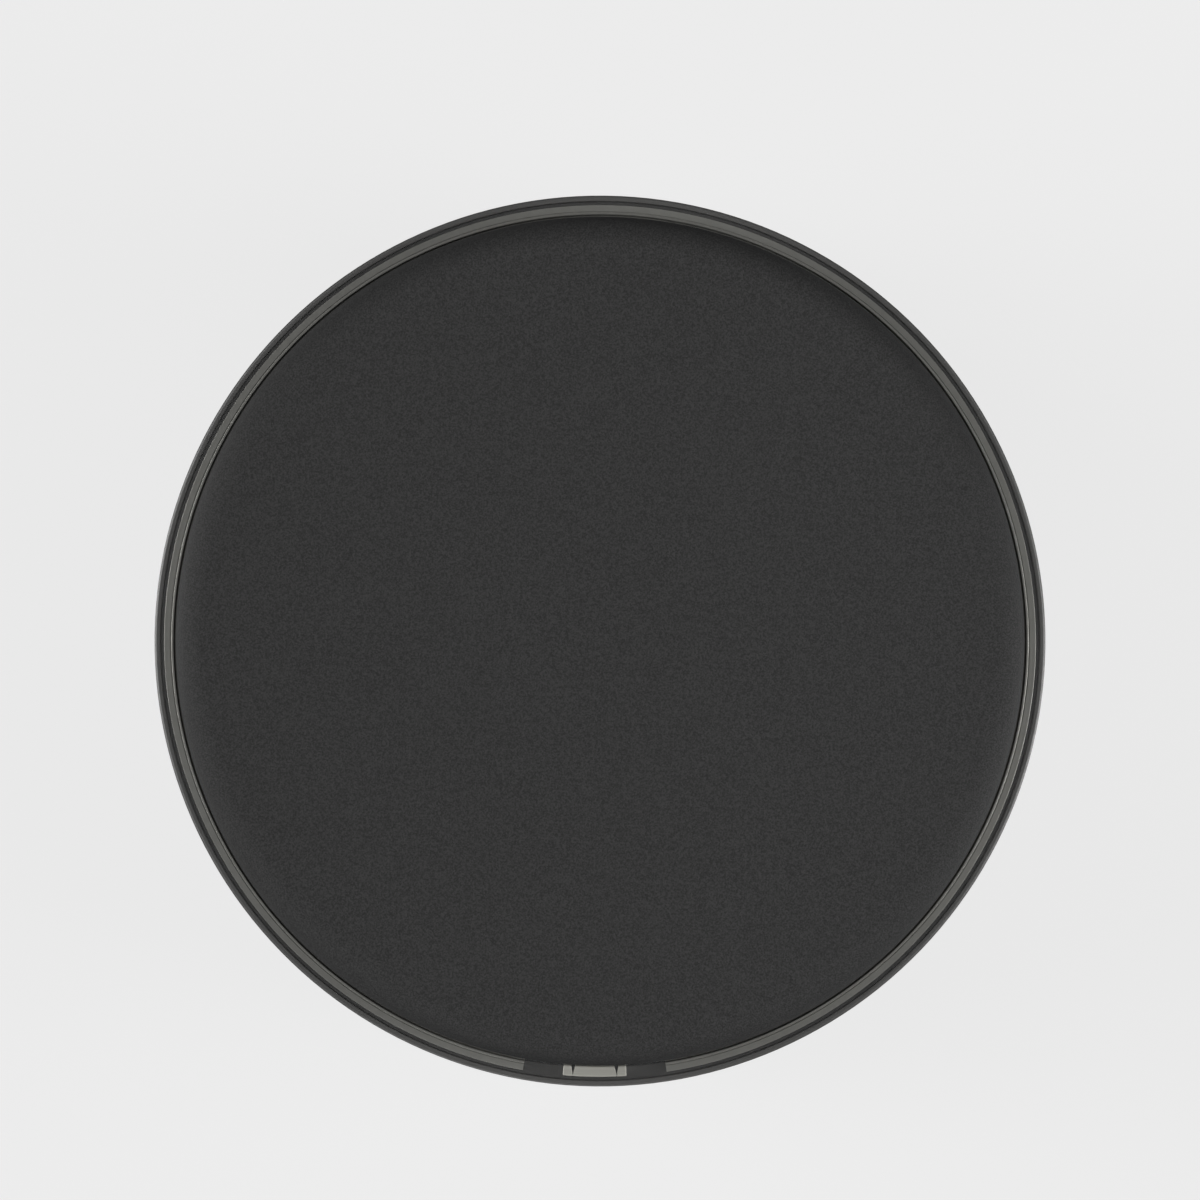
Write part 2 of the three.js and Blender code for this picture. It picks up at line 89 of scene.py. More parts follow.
@dataclass
class Shell:
    """A closed surface as points and faces, before it becomes a mesh."""

    points: np.ndarray
    faces: list[tuple[int, ...]]

    def joined(self, *others: "Shell") -> "Shell":
        """This shell and the others as one list of points and faces."""
        points, faces = [self.points], list(self.faces)
        offset = len(self.points)
        for other in others:
            points.append(other.points)
            faces.extend(tuple(corner + offset for corner in face) for face in other.faces)
            offset += len(other.points)
        return Shell(np.vstack(points), faces)

    def moved(self, x: float, y: float, z: float = 0.0) -> "Shell":
        """The same shell, shifted."""
        return Shell(self.points + np.array([x, y, z]), self.faces)


def rounded(corners: Sequence[tuple[float, float, float]], steps: int = 4) -> np.ndarray:
    """Rounds each corner of a closed outline with an arc of its own radius.

    At a corner P with half angle h between its two sides, the arc of radius q starts q / tan(h) along
    each side, and its centre lies q / sin(h) along the bisector. The length along a side is kept under
    half of that side. A point on each straight side, close to the arc, keeps flat faces flat in shading.

    Args:
        corners: Anticlockwise (radius, height, corner radius) triples.
        steps: Pieces in each arc.

    Returns:
        The outline's points, one row each.
    """
    count = len(corners)
    plan = np.array([corner[:2] for corner in corners])
    outline: list[np.ndarray] = []
    for index, (_, _, radius) in enumerate(corners):
        point = plan[index]
        back, ahead = plan[index - 1] - point, plan[(index + 1) % count] - point
        back_length, ahead_length = np.linalg.norm(back), np.linalg.norm(ahead)
        back, ahead = back / back_length, ahead / ahead_length
        half = 0.5 * math.acos(float(np.clip(back @ ahead, -1, 1)))
        if radius <= 0 or not FOLDED <= half <= STRAIGHT:
            outline.append(point)
            continue
        room = ARC_SHARE * min(back_length, ahead_length)
        along = min(radius / math.tan(half), room)
        arc_radius = along * math.tan(half)
        bisector = (back + ahead) / np.linalg.norm(back + ahead)
        centre = point + bisector * arc_radius / math.sin(half)
        start, end = point + back * along - centre, point + ahead * along - centre
        first = math.atan2(start[1], start[0])
        sweep = (math.atan2(end[1], end[0]) - first + math.pi) % TURN - math.pi
        angles = first + sweep * np.linspace(0, 1, steps + 1)
        hold = min(0.12 * along + 0.02 * MM, 0.05 * min(back_length, ahead_length))
        outline.append(point + back * (along + hold))
        outline.extend(centre + arc_radius * np.column_stack([np.cos(angles), np.sin(angles)]))
        outline.append(point + ahead * (along + hold))
    return np.array(outline)


def revolved(
    outline: np.ndarray, detail: Detail, start: float | np.ndarray = 0.0, sweep: float | np.ndarray = TURN,
) -> Shell:
    """Carries an anticlockwise (radius, height) outline round Z.

    A point at angle a and outline row i is (r_i cos a, r_i sin a, z_i), with a from start to start plus
    sweep, which may differ from row to row. A part turn gets a flat cap on each end; a full turn closes
    on itself.

    Args:
        outline: The closed outline, one (radius, height) row per point.
        detail: Columns in a full turn.
        start: First angle, for the whole outline or for each of its rows.
        sweep: Angle covered, for the whole outline or for each of its rows.

    Returns:
        The closed shell.
    """
    widest = float(np.max(sweep))
    whole = widest >= TURN - TINY
    steps = detail.value if whole else max(2, round(detail.value * widest / TURN * 2))
    radius, height = outline[:, 0], outline[:, 1]
    share = np.arange(steps + (0 if whole else 1))[:, None] / steps
    angle = start + sweep * share + np.zeros(len(radius))
    grid = np.stack([
        np.cos(angle) * radius, np.sin(angle) * radius, np.broadcast_to(height, angle.shape),
    ], axis=-1)
    return woven_grid(grid, whole, True)


def woven_grid(grid: np.ndarray, columns_close: bool, rows_close: bool) -> Shell:
    """Joins a grid of points with quads, closing either direction, and caps open column ends.

    Face (j, i) has the corners (j, i), (j + 1, i), (j + 1, i + 1) and (j, i + 1).

    Args:
        grid: Points as (columns, rows, 3).
        columns_close: The last column meets the first.
        rows_close: The last row meets the first.

    Returns:
        The shell.
    """
    columns, rows = grid.shape[:2]
    index = np.arange(columns * rows).reshape(columns, rows)
    j = np.arange(columns if columns_close else columns - 1)
    i = np.arange(rows if rows_close else rows - 1)
    this, after = index[j], index[(j + 1) % columns]
    quads = np.stack([
        this[:, i],
        after[:, i],
        after[:, (i + 1) % rows],
        this[:, (i + 1) % rows],
    ], axis=-1).reshape(-1, 4)
    faces = [tuple(face) for face in quads.tolist()]
    if not columns_close:
        faces.append(tuple(index[0].tolist()))
        faces.append(tuple(index[-1][::-1].tolist()))
    return Shell(grid.reshape(-1, 3), faces)


def piped(path: np.ndarray, centre_line: np.ndarray, radius: float, sides: int) -> Shell:
    """A round wire along a closed path that winds about a centre line.

    Each cross section is a circle in the plane of two unit vectors: away from the centre line, made
    square to the path's own direction, and the cross product of the two.

    Args:
        path: The wire's centre points.
        centre_line: The point that each path point winds about.
        radius: The wire's radius.
        sides: Points round the wire.

    Returns:
        The closed shell.
    """
    along = np.roll(path, -1, axis=0) - np.roll(path, 1, axis=0)
    along /= np.linalg.norm(along, axis=1, keepdims=True)
    away = path - centre_line
    away -= along * np.sum(away * along, axis=1, keepdims=True)
    away /= np.linalg.norm(away, axis=1, keepdims=True)
    side = np.cross(along, away)
    angle = TURN * np.arange(sides) / sides
    grid = path[:, None] + radius * (
        np.cos(angle)[None, :, None] * away[:, None] - np.sin(angle)[None, :, None] * side[:, None]
    )
    return woven_grid(grid, True, True)


@dataclass
class Sheet:
    """A flat surface of quads with holes in it, facing up."""

    points: np.ndarray
    quads: np.ndarray

    def joined(self, *others: "Sheet") -> "Sheet":
        """This sheet and the others, with points that coincide merged."""
        points, quads, offset = [], [], 0
        for sheet in (self, *others):
            points.append(sheet.points)
            quads.append(sheet.quads + offset)
            offset += len(sheet.points)
        every = np.vstack(points)
        _, first, same = np.unique(
            np.round(every / (0.001 * MM)).astype(np.int64), axis=0, return_index=True, return_inverse=True)
        return Sheet(every[first], same.reshape(-1)[np.vstack(quads)])

    def thickened(self, bottom: float, top: float) -> Shell:
        """Gives the sheet a thickness, with a wall along each edge that only one quad uses.

        Args:
            bottom: Height of the under side.
            top: Height of the upper side.

        Returns:
            The closed shell.
        """
        count = len(self.points)
        upper = np.column_stack([self.points[:, :2], np.full(count, top)])
        lower = np.column_stack([self.points[:, :2], np.full(count, bottom)])
        edges = np.stack([self.quads, np.roll(self.quads, -1, axis=1)], axis=-1).reshape(-1, 2)
        code = edges[:, 0] * count + edges[:, 1]
        lone = edges[~np.isin(code, edges[:, 1] * count + edges[:, 0])]
        walls = np.column_stack([lone[:, 1], lone[:, 0], lone[:, 0] + count, lone[:, 1] + count])
        faces = np.vstack([self.quads, self.quads[:, ::-1] + count, walls])
        return Shell(np.vstack([upper, lower]), [tuple(face) for face in faces.tolist()])


def plain_band(inner: float, outer: float, columns: int, rows: int = 1) -> Sheet:
    """A flat ring: radius grows evenly over the rows and angle over the columns."""
    radius = np.linspace(inner, outer, rows + 1)
    angle = TURN * np.arange(columns) / columns
    grid = np.stack([
        np.cos(angle)[:, None] * radius, np.sin(angle)[:, None] * radius, np.zeros((columns, rows + 1)),
    ], axis=-1)
    index = np.arange(columns * (rows + 1)).reshape(columns, rows + 1)
    after = np.roll(index, -1, axis=0)
    quads = np.stack([index[:, :-1], index[:, 1:], after[:, 1:], after[:, :-1]], axis=-1)
    return Sheet(grid.reshape(-1, 3), quads.reshape(-1, 4))


def drilled_band(
    inner: float, outer: float, holes: int, hole: float, columns: int, rings: int = 5,
) -> Sheet:
    """A flat ring with a row of round holes, centred between its two radii.

    Each hole sits in a cell of the ring. A point of the cell runs from the hole's edge, at the angle of
    the matching point on the cell's square border, out to that border, which is bent to the ring.

    Args:
        inner: The ring's inner radius.
        outer: The ring's outer radius.
        holes: Number of holes.
        hole: Radius of one hole.
        columns: Columns in the whole turn, a multiple of the number of holes.
        rings: Rings of points from a hole's edge to its cell's border, both counted.

    Returns:
        The sheet.
    """
    across = columns // holes
    side = 2 * np.arange(across) / across - 1
    one = np.ones(across)
    border = np.concatenate([
        np.column_stack([one, side]), np.column_stack([-side, one]),
        np.column_stack([-one, -side]), np.column_stack([side, -one]),
    ])
    middle, half = (inner + outer) / 2, (outer - inner) / 2
    radius = middle + half * border[:, 0]
    turn = TURN / holes / 2 * border[:, 1]
    edge = np.column_stack([radius * np.cos(turn), radius * np.sin(turn)])
    way = np.arctan2(border[:, 1], border[:, 0])
    rim = np.column_stack([middle + hole * np.cos(way), hole * np.sin(way)])
    blend = np.linspace(0, 1, rings)[:, None, None]
    cell = rim * (1 - blend) + edge * blend
    around = len(border)
    index = np.arange(rings * around).reshape(rings, around)
    after = np.roll(index, -1, axis=1)
    quads = np.stack([index[:-1], index[1:], after[1:], after[:-1]], axis=-1).reshape(-1, 4)
    flat = np.column_stack([cell.reshape(-1, 2), np.zeros(rings * around)])
    sheets = []
    for angle in TURN * np.arange(holes) / holes:
        cosine, sine = math.cos(angle), math.sin(angle)
        spun = flat @ np.array([[cosine, sine, 0], [-sine, cosine, 0], [0, 0, 1]])
        sheets.append(Sheet(spun, quads))
    return sheets[0].joined(*sheets[1:])


def slotted_band(
    inner: float, outer: float, slot: tuple[float, float, float], directions: Sequence[float],
) -> Sheet:
    """A flat ring with straight radial slots.

    Two columns of the grid follow each slot's parallel sides: at radius r they stand asin(w / 2r) either
    side of its direction. The quads between them, from the slot's start to its end, are left out.

    Args:
        inner: The ring's inner radius.
        outer: The ring's outer radius.
        slot: Start radius, end radius and width of each slot.
        directions: Angle of each slot, in radians.

    Returns:
        The sheet.
    """
    start, end, width = slot
    radius = np.array([inner, (inner + start) / 2, start, (start + end) / 2, end, outer])
    spread = np.arcsin(width / 2 / np.maximum(radius, start))
    base, sign = [], []
    for direction in directions:
        base += [direction, direction]
        sign += [-1, 1]
    plain_columns, clear_of_slots = 96, 1.3 * spread.max()
    for angle in TURN * (np.arange(plain_columns) + 0.5) / plain_columns:
        apart = np.abs((np.array(directions) - angle + math.pi) % TURN - math.pi)
        if apart.min() > clear_of_slots:
            base.append(angle)
            sign.append(0)
    order = np.argsort(np.mod(np.array(base) + np.array(sign) * spread.min(), TURN))
    base_angle, way = np.array(base)[order], np.array(sign)[order]
    angle = base_angle[:, None] + way[:, None] * spread
    grid = np.stack([np.cos(angle) * radius, np.sin(angle) * radius, np.zeros_like(angle)], axis=-1)
    columns, rows = angle.shape
    index = np.arange(columns * rows).reshape(columns, rows)
    after = np.roll(index, -1, axis=0)
    quads = np.stack([index[:, :-1], index[:, 1:], after[:, 1:], after[:, :-1]], axis=-1)
    middle = (radius[:-1] + radius[1:]) / 2
    open_cell = (way == -1)[:, None] & ((middle > start) & (middle < end))[None, :]
    return Sheet(grid.reshape(-1, 3), quads[~open_cell])


def hexed(points: np.ndarray, below: float, across: float) -> np.ndarray:
    """Turns the points inside a radius into a hexagon of the given half width.

    Args:
        points: Points of a turned shell.
        below: Points nearer the axis than this are moved.
        across: The hexagon's half width across its flats.

    Returns:
        The moved points.
    """
    x, y, z = points.T
    radius, angle = np.hypot(x, y), np.arctan2(y, x)
    sixth = TURN / 6
    flat = across / np.cos(np.mod(angle, sixth) - sixth / 2)
    scale = np.where((radius < below) & (radius > TINY), flat / np.maximum(radius, TINY), 1.0)
    scale = np.minimum(scale, flat / across)
    return np.column_stack([x * scale, y * scale, z])


def fluted(shell: Shell, beyond: float, count: int, depth: float) -> Shell:
    """Sinks shallow flutes into the outside of a turned shell.

    A point beyond the given radius moves towards the axis by depth times half of one minus the cosine of
    count times its angle.

    Args:
        shell: The turned shell.
        beyond: Points nearer the axis stay.
        count: Number of flutes.
        depth: Depth of one flute.

    Returns:
        The fluted shell.
    """
    x, y, z = shell.points.T
    radius = np.maximum(np.hypot(x, y), TINY)
    wave = 0.5 - 0.5 * np.cos(count * np.arctan2(y, x))
    scale = np.where(radius > beyond, 1 - depth * wave / radius, 1.0)
    return Shell(np.column_stack([x * scale, y * scale, z]), shell.faces)


# ---------------------------------------------------------------------------------------------------
# Shader maths and finishes
# ---------------------------------------------------------------------------------------------------


Colour = tuple[float, float, float]


def scaled(colour: Colour, share: float) -> Colour:
    """A colour with each channel times a share."""
    return tuple(channel * share for channel in colour)


class Value:
    """A node's output that takes part in Python sums, each adding a Math node."""

    def __init__(self, graph: "Graph", socket: bpy.types.NodeSocket) -> None:
        """Keeps the socket and the graph that it is in."""
        self.graph = graph
        self.socket = socket

    def _math(self, operation: str, first: Any, second: Any) -> "Value":
        """Adds one Math node and gives its output."""
        return self.graph.node("ShaderNodeMath", {"operation": operation}, {0: first, 1: second})

    def __add__(self, other: Any) -> "Value":
        """Sum."""
        return self._math("ADD", self, other)

    def __radd__(self, other: Any) -> "Value":
        """Sum with the number first."""
        return self._math("ADD", other, self)

    def __sub__(self, other: Any) -> "Value":
        """Difference."""
        return self._math("SUBTRACT", self, other)

    def __rsub__(self, other: Any) -> "Value":
        """Difference with the number first."""
        return self._math("SUBTRACT", other, self)

    def __mul__(self, other: Any) -> "Value":
        """Product."""
        return self._math("MULTIPLY", self, other)

    def __rmul__(self, other: Any) -> "Value":
        """Product with the number first."""
        return self._math("MULTIPLY", other, self)

    def __pow__(self, other: Any) -> "Value":
        """Power."""
        return self._math("POWER", self, other)

    def __rpow__(self, other: Any) -> "Value":
        """Power with the number first."""
        return self._math("POWER", other, self)

    def sine(self) -> "Value":
        """Sine of an angle in radians."""
        return self._math("SINE", self, 0.0)

    def absolute(self) -> "Value":
        """Size without sign."""
        return self._math("ABSOLUTE", self, 0.0)

    def larger(self, other: "Value") -> "Value":
        """The larger of this and another."""
        return self._math("MAXIMUM", self, other)

    def above(self, low: float, high: float) -> "Value":
        """A smooth step from 0 at low to 1 at high."""
        return self.graph.node(
            "ShaderNodeMapRange", {"interpolation_type": "SMOOTHSTEP", "clamp": True},
            {"Value": self, "From Min": low, "From Max": high, "To Min": 0.0, "To Max": 1.0})


class Graph:
    """A material's node tree, with its Principled shader."""

    def __init__(self, name: str) -> None:
        """Makes the material and clears all but its output."""
        self.material = bpy.data.materials.new(name)
        self.material.use_nodes = True
        self.tree = self.material.node_tree
        self.tree.nodes.clear()
        self.output = self.tree.nodes.new("ShaderNodeOutputMaterial")
        self.shader = self.tree.nodes.new("ShaderNodeBsdfPrincipled")
        self.tree.links.new(self.shader.outputs[0], self.output.inputs["Surface"])

    def node(self, kind: str, settings: dict[str, Any], sockets: dict[Any, Any], out: Any = 0) -> Value:
        """Adds a node.

        Args:
            kind: Blender's node type.
            settings: The node's own properties, set first.
            sockets: Number, colour or Value for each input, by name or index.
            out: Which output to give back.

        Returns:
            The chosen output.
        """
        made = self.tree.nodes.new(kind)
        for key, setting in settings.items():
            setattr(made, key, setting)
        for key, value in sockets.items():
            self.feed(made.inputs[key], value)
        return Value(self, made.outputs[out])

    def feed(self, socket: bpy.types.NodeSocket, value: Any) -> None:
        """Links a Value to a socket, or sets a number or colour on it."""
        if isinstance(value, Value):
            self.tree.links.new(value.socket, socket)
        else:
            socket.default_value = value

    def place(self) -> Value:
        """Object coordinates, in metres."""
        return self.node("ShaderNodeTexCoord", {}, {}, "Object")

    def axes(self) -> tuple[Value, Value, Value]:
        """The three object coordinates, each on its own."""
        split = self.tree.nodes.new("ShaderNodeSeparateXYZ")
        self.feed(split.inputs[0], self.place())
        return tuple(Value(self, output) for output in split.outputs)

    def radius(self) -> Value:
        """Distance to the axis, in metres."""
        x, y, _ = self.axes()
        return (x * x + y * y) ** 0.5

    def noise(
        self, size: float, detail: float = 2.0, vector: Value | None = None, seed: float = 0.0,
    ) -> Value:
        """Noise whose grain is about size metres across."""
        sockets = {"Vector": vector or self.place(), "W": seed, "Scale": 1 / size, "Detail": detail}
        return self.node("ShaderNodeTexNoise", {"noise_dimensions": "4D"}, sockets, "Fac")

    def mixed(self, factor: Value, first: "Colour | Value", second: "Colour | Value") -> Value:
        """A colour between two, by a factor."""
        ends = [end if isinstance(end, Value) else (*end, 1.0) for end in (first, second)]
        factor_input, first_input, second_input, colour_output = 0, 6, 7, 2
        sockets = {factor_input: factor, first_input: ends[0], second_input: ends[1]}
        return self.node("ShaderNodeMix", {"data_type": "RGBA"}, sockets, colour_output)

    def toned(self, factor: Value, colour: "Colour", contrast: float) -> Value:
        """A colour that a factor from 0 to 1 takes from darker to lighter by the same share."""
        return self.mixed(factor, scaled(colour, 1 - contrast), scaled(colour, 1 + contrast))

    def bump(self, height: Value, depth: float, strength: float = 1.0) -> Value:
        """A normal bent by a height of the given depth in metres."""
        sockets = {"Strength": strength, "Distance": depth, "Height": height}
        return self.node("ShaderNodeBump", {}, sockets, "Normal")

    def rings(self, pitch: float, seed: float = 0.0) -> Value:
        """Fine irregular circles about Z, as a lathe leaves, from noise over the distance to the axis."""
        vector = self.node("ShaderNodeCombineXYZ", {}, {0: self.radius(), 1: self.axes()[2], 2: 0.0})
        return self.noise(pitch, 3.0, vector, seed)

    def dress(self, **values: Any) -> bpy.types.Material:
        """Feeds the Principled shader's sockets, named with underscores for spaces."""
        names = {name.lower().replace(" ", "_"): name for name in self.shader.inputs.keys()}
        for key, value in values.items():
            self.feed(self.shader.inputs[names[key]], value)
        return self.material


class Sky(Graph):
    """The world's node tree, for sums on its light."""

    def __init__(self, world: bpy.types.World) -> None:
        """Keeps the world's tree."""
        self.tree = world.node_tree


@dataclass(frozen=True)
class Moulded:
    """A moulded or coated plastic or rubber with a fine even grain."""

    name: str
    colour: Colour
    roughness: float
    grain: float = 0.45 * MM
    contrast: float = 0.25
    depth: float = 0.02 * MM
    specks: float = 0.0
    level: float = 0.5
    cloud_size: float = 14.0 * MM
    cloud_share: float = 0.12
    grain_roughness: float = 0.12
    cloud_roughness: float = 0.06

    def material(self) -> bpy.types.Material:
        """Builds the material: grain in colour, roughness and bump, soft clouds and a few paler specks."""
        graph = Graph(self.name)
        fine = graph.noise(self.grain, detail=2.0)
        cloud = graph.noise(self.cloud_size, detail=2.0, seed=3.0)
        tone = fine.above(0.3, 0.7) * (1 - self.cloud_share) + cloud * self.cloud_share
        if self.specks > 0:
            speck = graph.noise(self.grain * 1.4, detail=0.0, seed=7.0).above(0.64, 0.72)
            tone = tone + speck * self.specks
        rough = self.roughness + (fine - 0.5) * self.grain_roughness + (cloud - 0.5) * self.cloud_roughness
        return graph.dress(
            base_color=graph.toned(tone, self.colour, self.contrast), roughness=rough,
            specular_ior_level=self.level, normal=graph.bump(fine, self.depth))


@dataclass(frozen=True)
class Turned:
    """A metal or satin surface with fine circles about the axis."""

    name: str
    colour: Colour
    roughness: float
    metallic: float = 1.0
    pitch: float = 0.12 * MM
    contrast: float = 0.08
    depth: float = 0.004 * MM
    smudge_size: float = 9.0 * MM
    circle_roughness: float = 0.1
    smudge_roughness: float = 0.05

    def material(self) -> bpy.types.Material:
        """Builds the material: circles in colour, roughness and bump, with faint handling marks."""
        graph = Graph(self.name)
        circles = graph.rings(self.pitch)
        smudge = graph.noise(self.smudge_size, detail=3.0, seed=5.0).above(0.45, 0.7)
        rough = self.roughness + (circles - 0.5) * self.circle_roughness + smudge * self.smudge_roughness
        return graph.dress(
            base_color=graph.toned(circles, self.colour, self.contrast), roughness=rough,
            metallic=self.metallic, normal=graph.bump(circles, self.depth))


@dataclass(frozen=True)
class Banded:
    """A satin band on a black moulded carrier, which shows below the band."""

    name: str
    colour: Colour
    carrier: Colour
    band_low: float
    fade: float = 0.1 * MM
    contrast: float = 0.14
    pitch: float = 0.1 * MM
    grain_size: float = 0.5 * MM
    grain_share: float = 0.3
    depth: float = 0.018 * MM
    carrier_roughness: float = 0.62
    band_roughness: float = 0.36
    unevenness: float = 0.1
    metallic: float = 0.8

    def material(self) -> bpy.types.Material:
        """Builds the material: fine circles and a satin sheen above a height, matt black below it."""
        graph = Graph(self.name)
        _, _, height = graph.axes()
        band = height.above(self.band_low, self.band_low + self.fade)
        circles = graph.rings(self.pitch)
        grain = graph.noise(self.grain_size, detail=2.0, seed=9.0)
        tone = circles * (1 - self.grain_share) + grain * self.grain_share
        satin = graph.toned(tone, self.colour, self.contrast)
        smoother = self.carrier_roughness - self.band_roughness + (circles - 0.5) * self.unevenness
        rough = self.carrier_roughness + (grain - 0.5) * self.unevenness - band * smoother
        return graph.dress(
            base_color=graph.mixed(band, self.carrier, satin), roughness=rough,
            metallic=band * self.metallic, normal=graph.bump(tone, self.depth))


@dataclass(frozen=True)
class Smoked:
    """Smoke-tinted clear plastic, seen through on its sides and denser along its edges."""

    name: str
    colour: Colour
    rim_colour: Colour
    see_through: float
    edge_height: float
    foot_height: float
    rim_depth: float = 3.4 * MM
    rim_blend: float = 1.2 * MM
    foot_blend: float = 4.0 * MM
    edge_loss: float = 0.9
    rim_loss: float = 0.67
    foot_loss: float = 0.8
    gloss: float = 0.07
    rim_roughness: float = 0.38

    def material(self) -> bpy.types.Material:
        """Builds the material, with faint haze and fine scuffs.

        How much passes through is the see-through share times one minus each loss: edge on, where the
        loss grows with the cube of the facing value, at the rim and at the foot.
        """
        graph = Graph(self.name)
        _, _, height = graph.axes()
        rim_low = self.edge_height - self.rim_depth
        rim = height.above(rim_low, rim_low + self.rim_blend)
        foot = 1 - height.above(self.foot_height, self.foot_height + self.foot_blend)
        haze = graph.noise(6 * MM, detail=4.0, seed=2.0)
        edge = graph.node("ShaderNodeLayerWeight", {}, {"Blend": 0.5}, "Facing")
        clear = self.see_through * (1 - edge ** 3.0 * self.edge_loss)
        clear = clear * (1 - rim * self.rim_loss) * (1 - foot * self.foot_loss)
        alpha = 1 - clear + (haze - 0.5) * 0.03
        scuff = graph.noise(1.3 * MM, detail=6.0, seed=11.0).above(0.62, 0.8)
        speck = graph.noise(0.22 * MM, detail=1.0, seed=8.0).above(0.52, 0.7)
        tone = haze * 0.2 + rim * (0.55 + speck * 0.7)
        return graph.dress(
            base_color=graph.mixed(tone, self.colour, self.rim_colour),
            roughness=self.gloss + scuff * 0.1 + rim * self.rim_roughness, alpha=alpha, ior=1.6,
            specular_ior_level=0.9, normal=graph.bump(haze, 0.01 * MM))


@dataclass(frozen=True)
class Clear:
    """Clear glass, with a painted sheen on its edges."""

    name: str
    colour: Colour
    opacity: float
    edge_sheen_opacity: float = 0.5
    ripple_size: float = 11.0 * MM
    ripple_depth: float = 0.03 * MM

    def material(self) -> bpy.types.Material:
        """Builds the material: mostly see-through, more solid where the wall is seen edge on, where its
        pale colour paints a sheen.
        """
        graph = Graph(self.name)
        ripple = graph.noise(self.ripple_size, detail=2.0, seed=4.0)
        # Painted sheen: seen edge on, the glass grows more solid and shows its pale colour.
        edge = graph.node("ShaderNodeLayerWeight", {}, {"Blend": 0.35}, "Facing")
        alpha = self.opacity + edge ** 2.0 * self.edge_sheen_opacity + (ripple - 0.5) * 0.03
        return graph.dress(
            base_color=graph.mixed(ripple, scaled(self.colour, 0.9), self.colour),
            roughness=0.03 + ripple * 0.03, alpha=alpha, ior=1.47, specular_ior_level=0.8,
            normal=graph.bump(ripple, self.ripple_depth))


@dataclass(frozen=True)
class Woven:
    """Fine woven steel: two sets of wires that pass over and under each other."""

    name: str
    colour: Colour
    pitch: float
    depth: float = 0.08 * MM
    roughness: float = 0.32
    gap_roughness: float = 0.4
    gap_opening: float = 0.55

    def material(self) -> bpy.types.Material:
        """Builds the material.

        Each set of wires is the absolute sine of one coordinate; a product of both sines says which set
        lies on top. Where both are low there is a gap, which is mostly open and darkened with painted
        shade.
        The colour also darkens with painted shade where a wire runs low, under the other set.
        """
        graph = Graph(self.name)
        x, y, _ = graph.axes()
        wave_x = (x * (math.pi / self.pitch)).sine()
        wave_y = (y * (math.pi / self.pitch)).sine()
        warp, weft = wave_x.absolute(), wave_y.absolute()
        over = (wave_x * wave_y).above(-0.2, 0.2)
        height = warp * over + weft * (1 - over)
        gap = 1 - warp.larger(weft).above(0.35, 0.6)
        # Painted shade: the colour falls to a quarter where a wire runs low and in the gaps.
        tone = height.above(0.3, 1.0) * (1 - gap)
        return graph.dress(
            base_color=graph.mixed(tone, scaled(self.colour, 0.25), self.colour), metallic=0.9,
            roughness=self.roughness + gap * self.gap_roughness, alpha=1 - gap * self.gap_opening,
            normal=graph.bump(height, self.depth))


class Finish(Enum):
    """The object's finishes, each with the record's slot that it belongs to."""

    SOFT_TOUCH = ("soft_black", Moulded(
        "soft_touch_black", colour=(0.0255, 0.0255, 0.0255), roughness=0.7, grain=0.16 * MM,
        contrast=0.42, depth=0.03 * MM, specks=0.6, level=0.15))
    MATT_BLACK = ("matte_black", Moulded(
        "moulded_black", colour=(0.014, 0.014, 0.014), roughness=0.5))
    SATIN_GREY = ("satin_grey", Banded(
        "satin_grey_band", colour=(0.345, 0.343, 0.32), carrier=(0.014, 0.014, 0.014),
        band_low=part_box("lid_collar")[1].z - 1.55 * MM))
    SILICONE = ("black_silicone", Moulded(
        "silicone", colour=(0.012, 0.012, 0.012), roughness=0.72, grain=0.8 * MM, contrast=0.15))
    ACETAL = ("black_acetal", Moulded(
        "acetal", colour=(0.03, 0.03, 0.03), roughness=0.36, grain=0.9 * MM, contrast=0.12,
        depth=0.008 * MM))
    POLISHED = ("polished_steel", Turned(
        "polished_steel", colour=(0.8, 0.79, 0.77), roughness=0.16, pitch=0.3 * MM, contrast=0.05))
    SATIN_STEEL = ("satin_steel", Turned(
        "satin_steel", colour=(0.72, 0.715, 0.7), roughness=0.34, metallic=0.92, pitch=0.14 * MM,
        contrast=0.12))
    TONGUE = ("polished_steel", Turned(
        "satin_tongue", colour=(0.38, 0.375, 0.34), roughness=0.42, metallic=0.3, pitch=0.16 * MM,
        contrast=0.3))
    POLISHED_WIRE = ("satin_steel", Turned(
        "spring_wire", colour=(0.74, 0.73, 0.72), roughness=0.26, metallic=0.95, pitch=0.3 * MM,
        contrast=0.06))
    BRASS = ("turned_brass", Turned(
        "turned_brass", colour=(0.55, 0.36, 0.12), roughness=0.26, pitch=0.2 * MM, contrast=0.1))
    WOVEN = ("woven_steel", Woven("woven_steel", colour=(0.7, 0.7, 0.69), pitch=0.55 * MM))
    GLASS = ("clear_beaker", Clear("beaker_glass", colour=(0.72, 0.75, 0.74), opacity=0.05))
    SMOKED = ("smoked_wall", Smoked(
        "smoked_wall", colour=(0.016, 0.015, 0.013), rim_colour=(0.026, 0.025, 0.022),
        see_through=0.73, edge_height=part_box("outer_wall")[1].z, foot_height=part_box("outer_wall")[0].z))

    def __init__(self, slot: str, recipe: Any) -> None:
        """Splits the pair into the record's slot and the recipe."""
        self.slot = slot
        self.recipe = recipe


MATERIALS: dict[Finish, bpy.types.Material] = {}


def material_of(finish: Finish) -> bpy.types.Material:
    """Gives a finish's material, made once."""
    if finish not in MATERIALS:
        MATERIALS[finish] = finish.recipe.material()
    return MATERIALS[finish]


# ---------------------------------------------------------------------------------------------------
# Pieces
# ---------------------------------------------------------------------------------------------------


@dataclass(frozen=True)
class Extent:
    """The radius and the two heights of a round piece in the frame."""

    radius: float
    low: float
    high: float

    @classmethod
    def of(cls, node: str) -> "Extent":
        """Reads a node's box."""
        low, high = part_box(node)
        return cls(high.x, low.z, high.z)


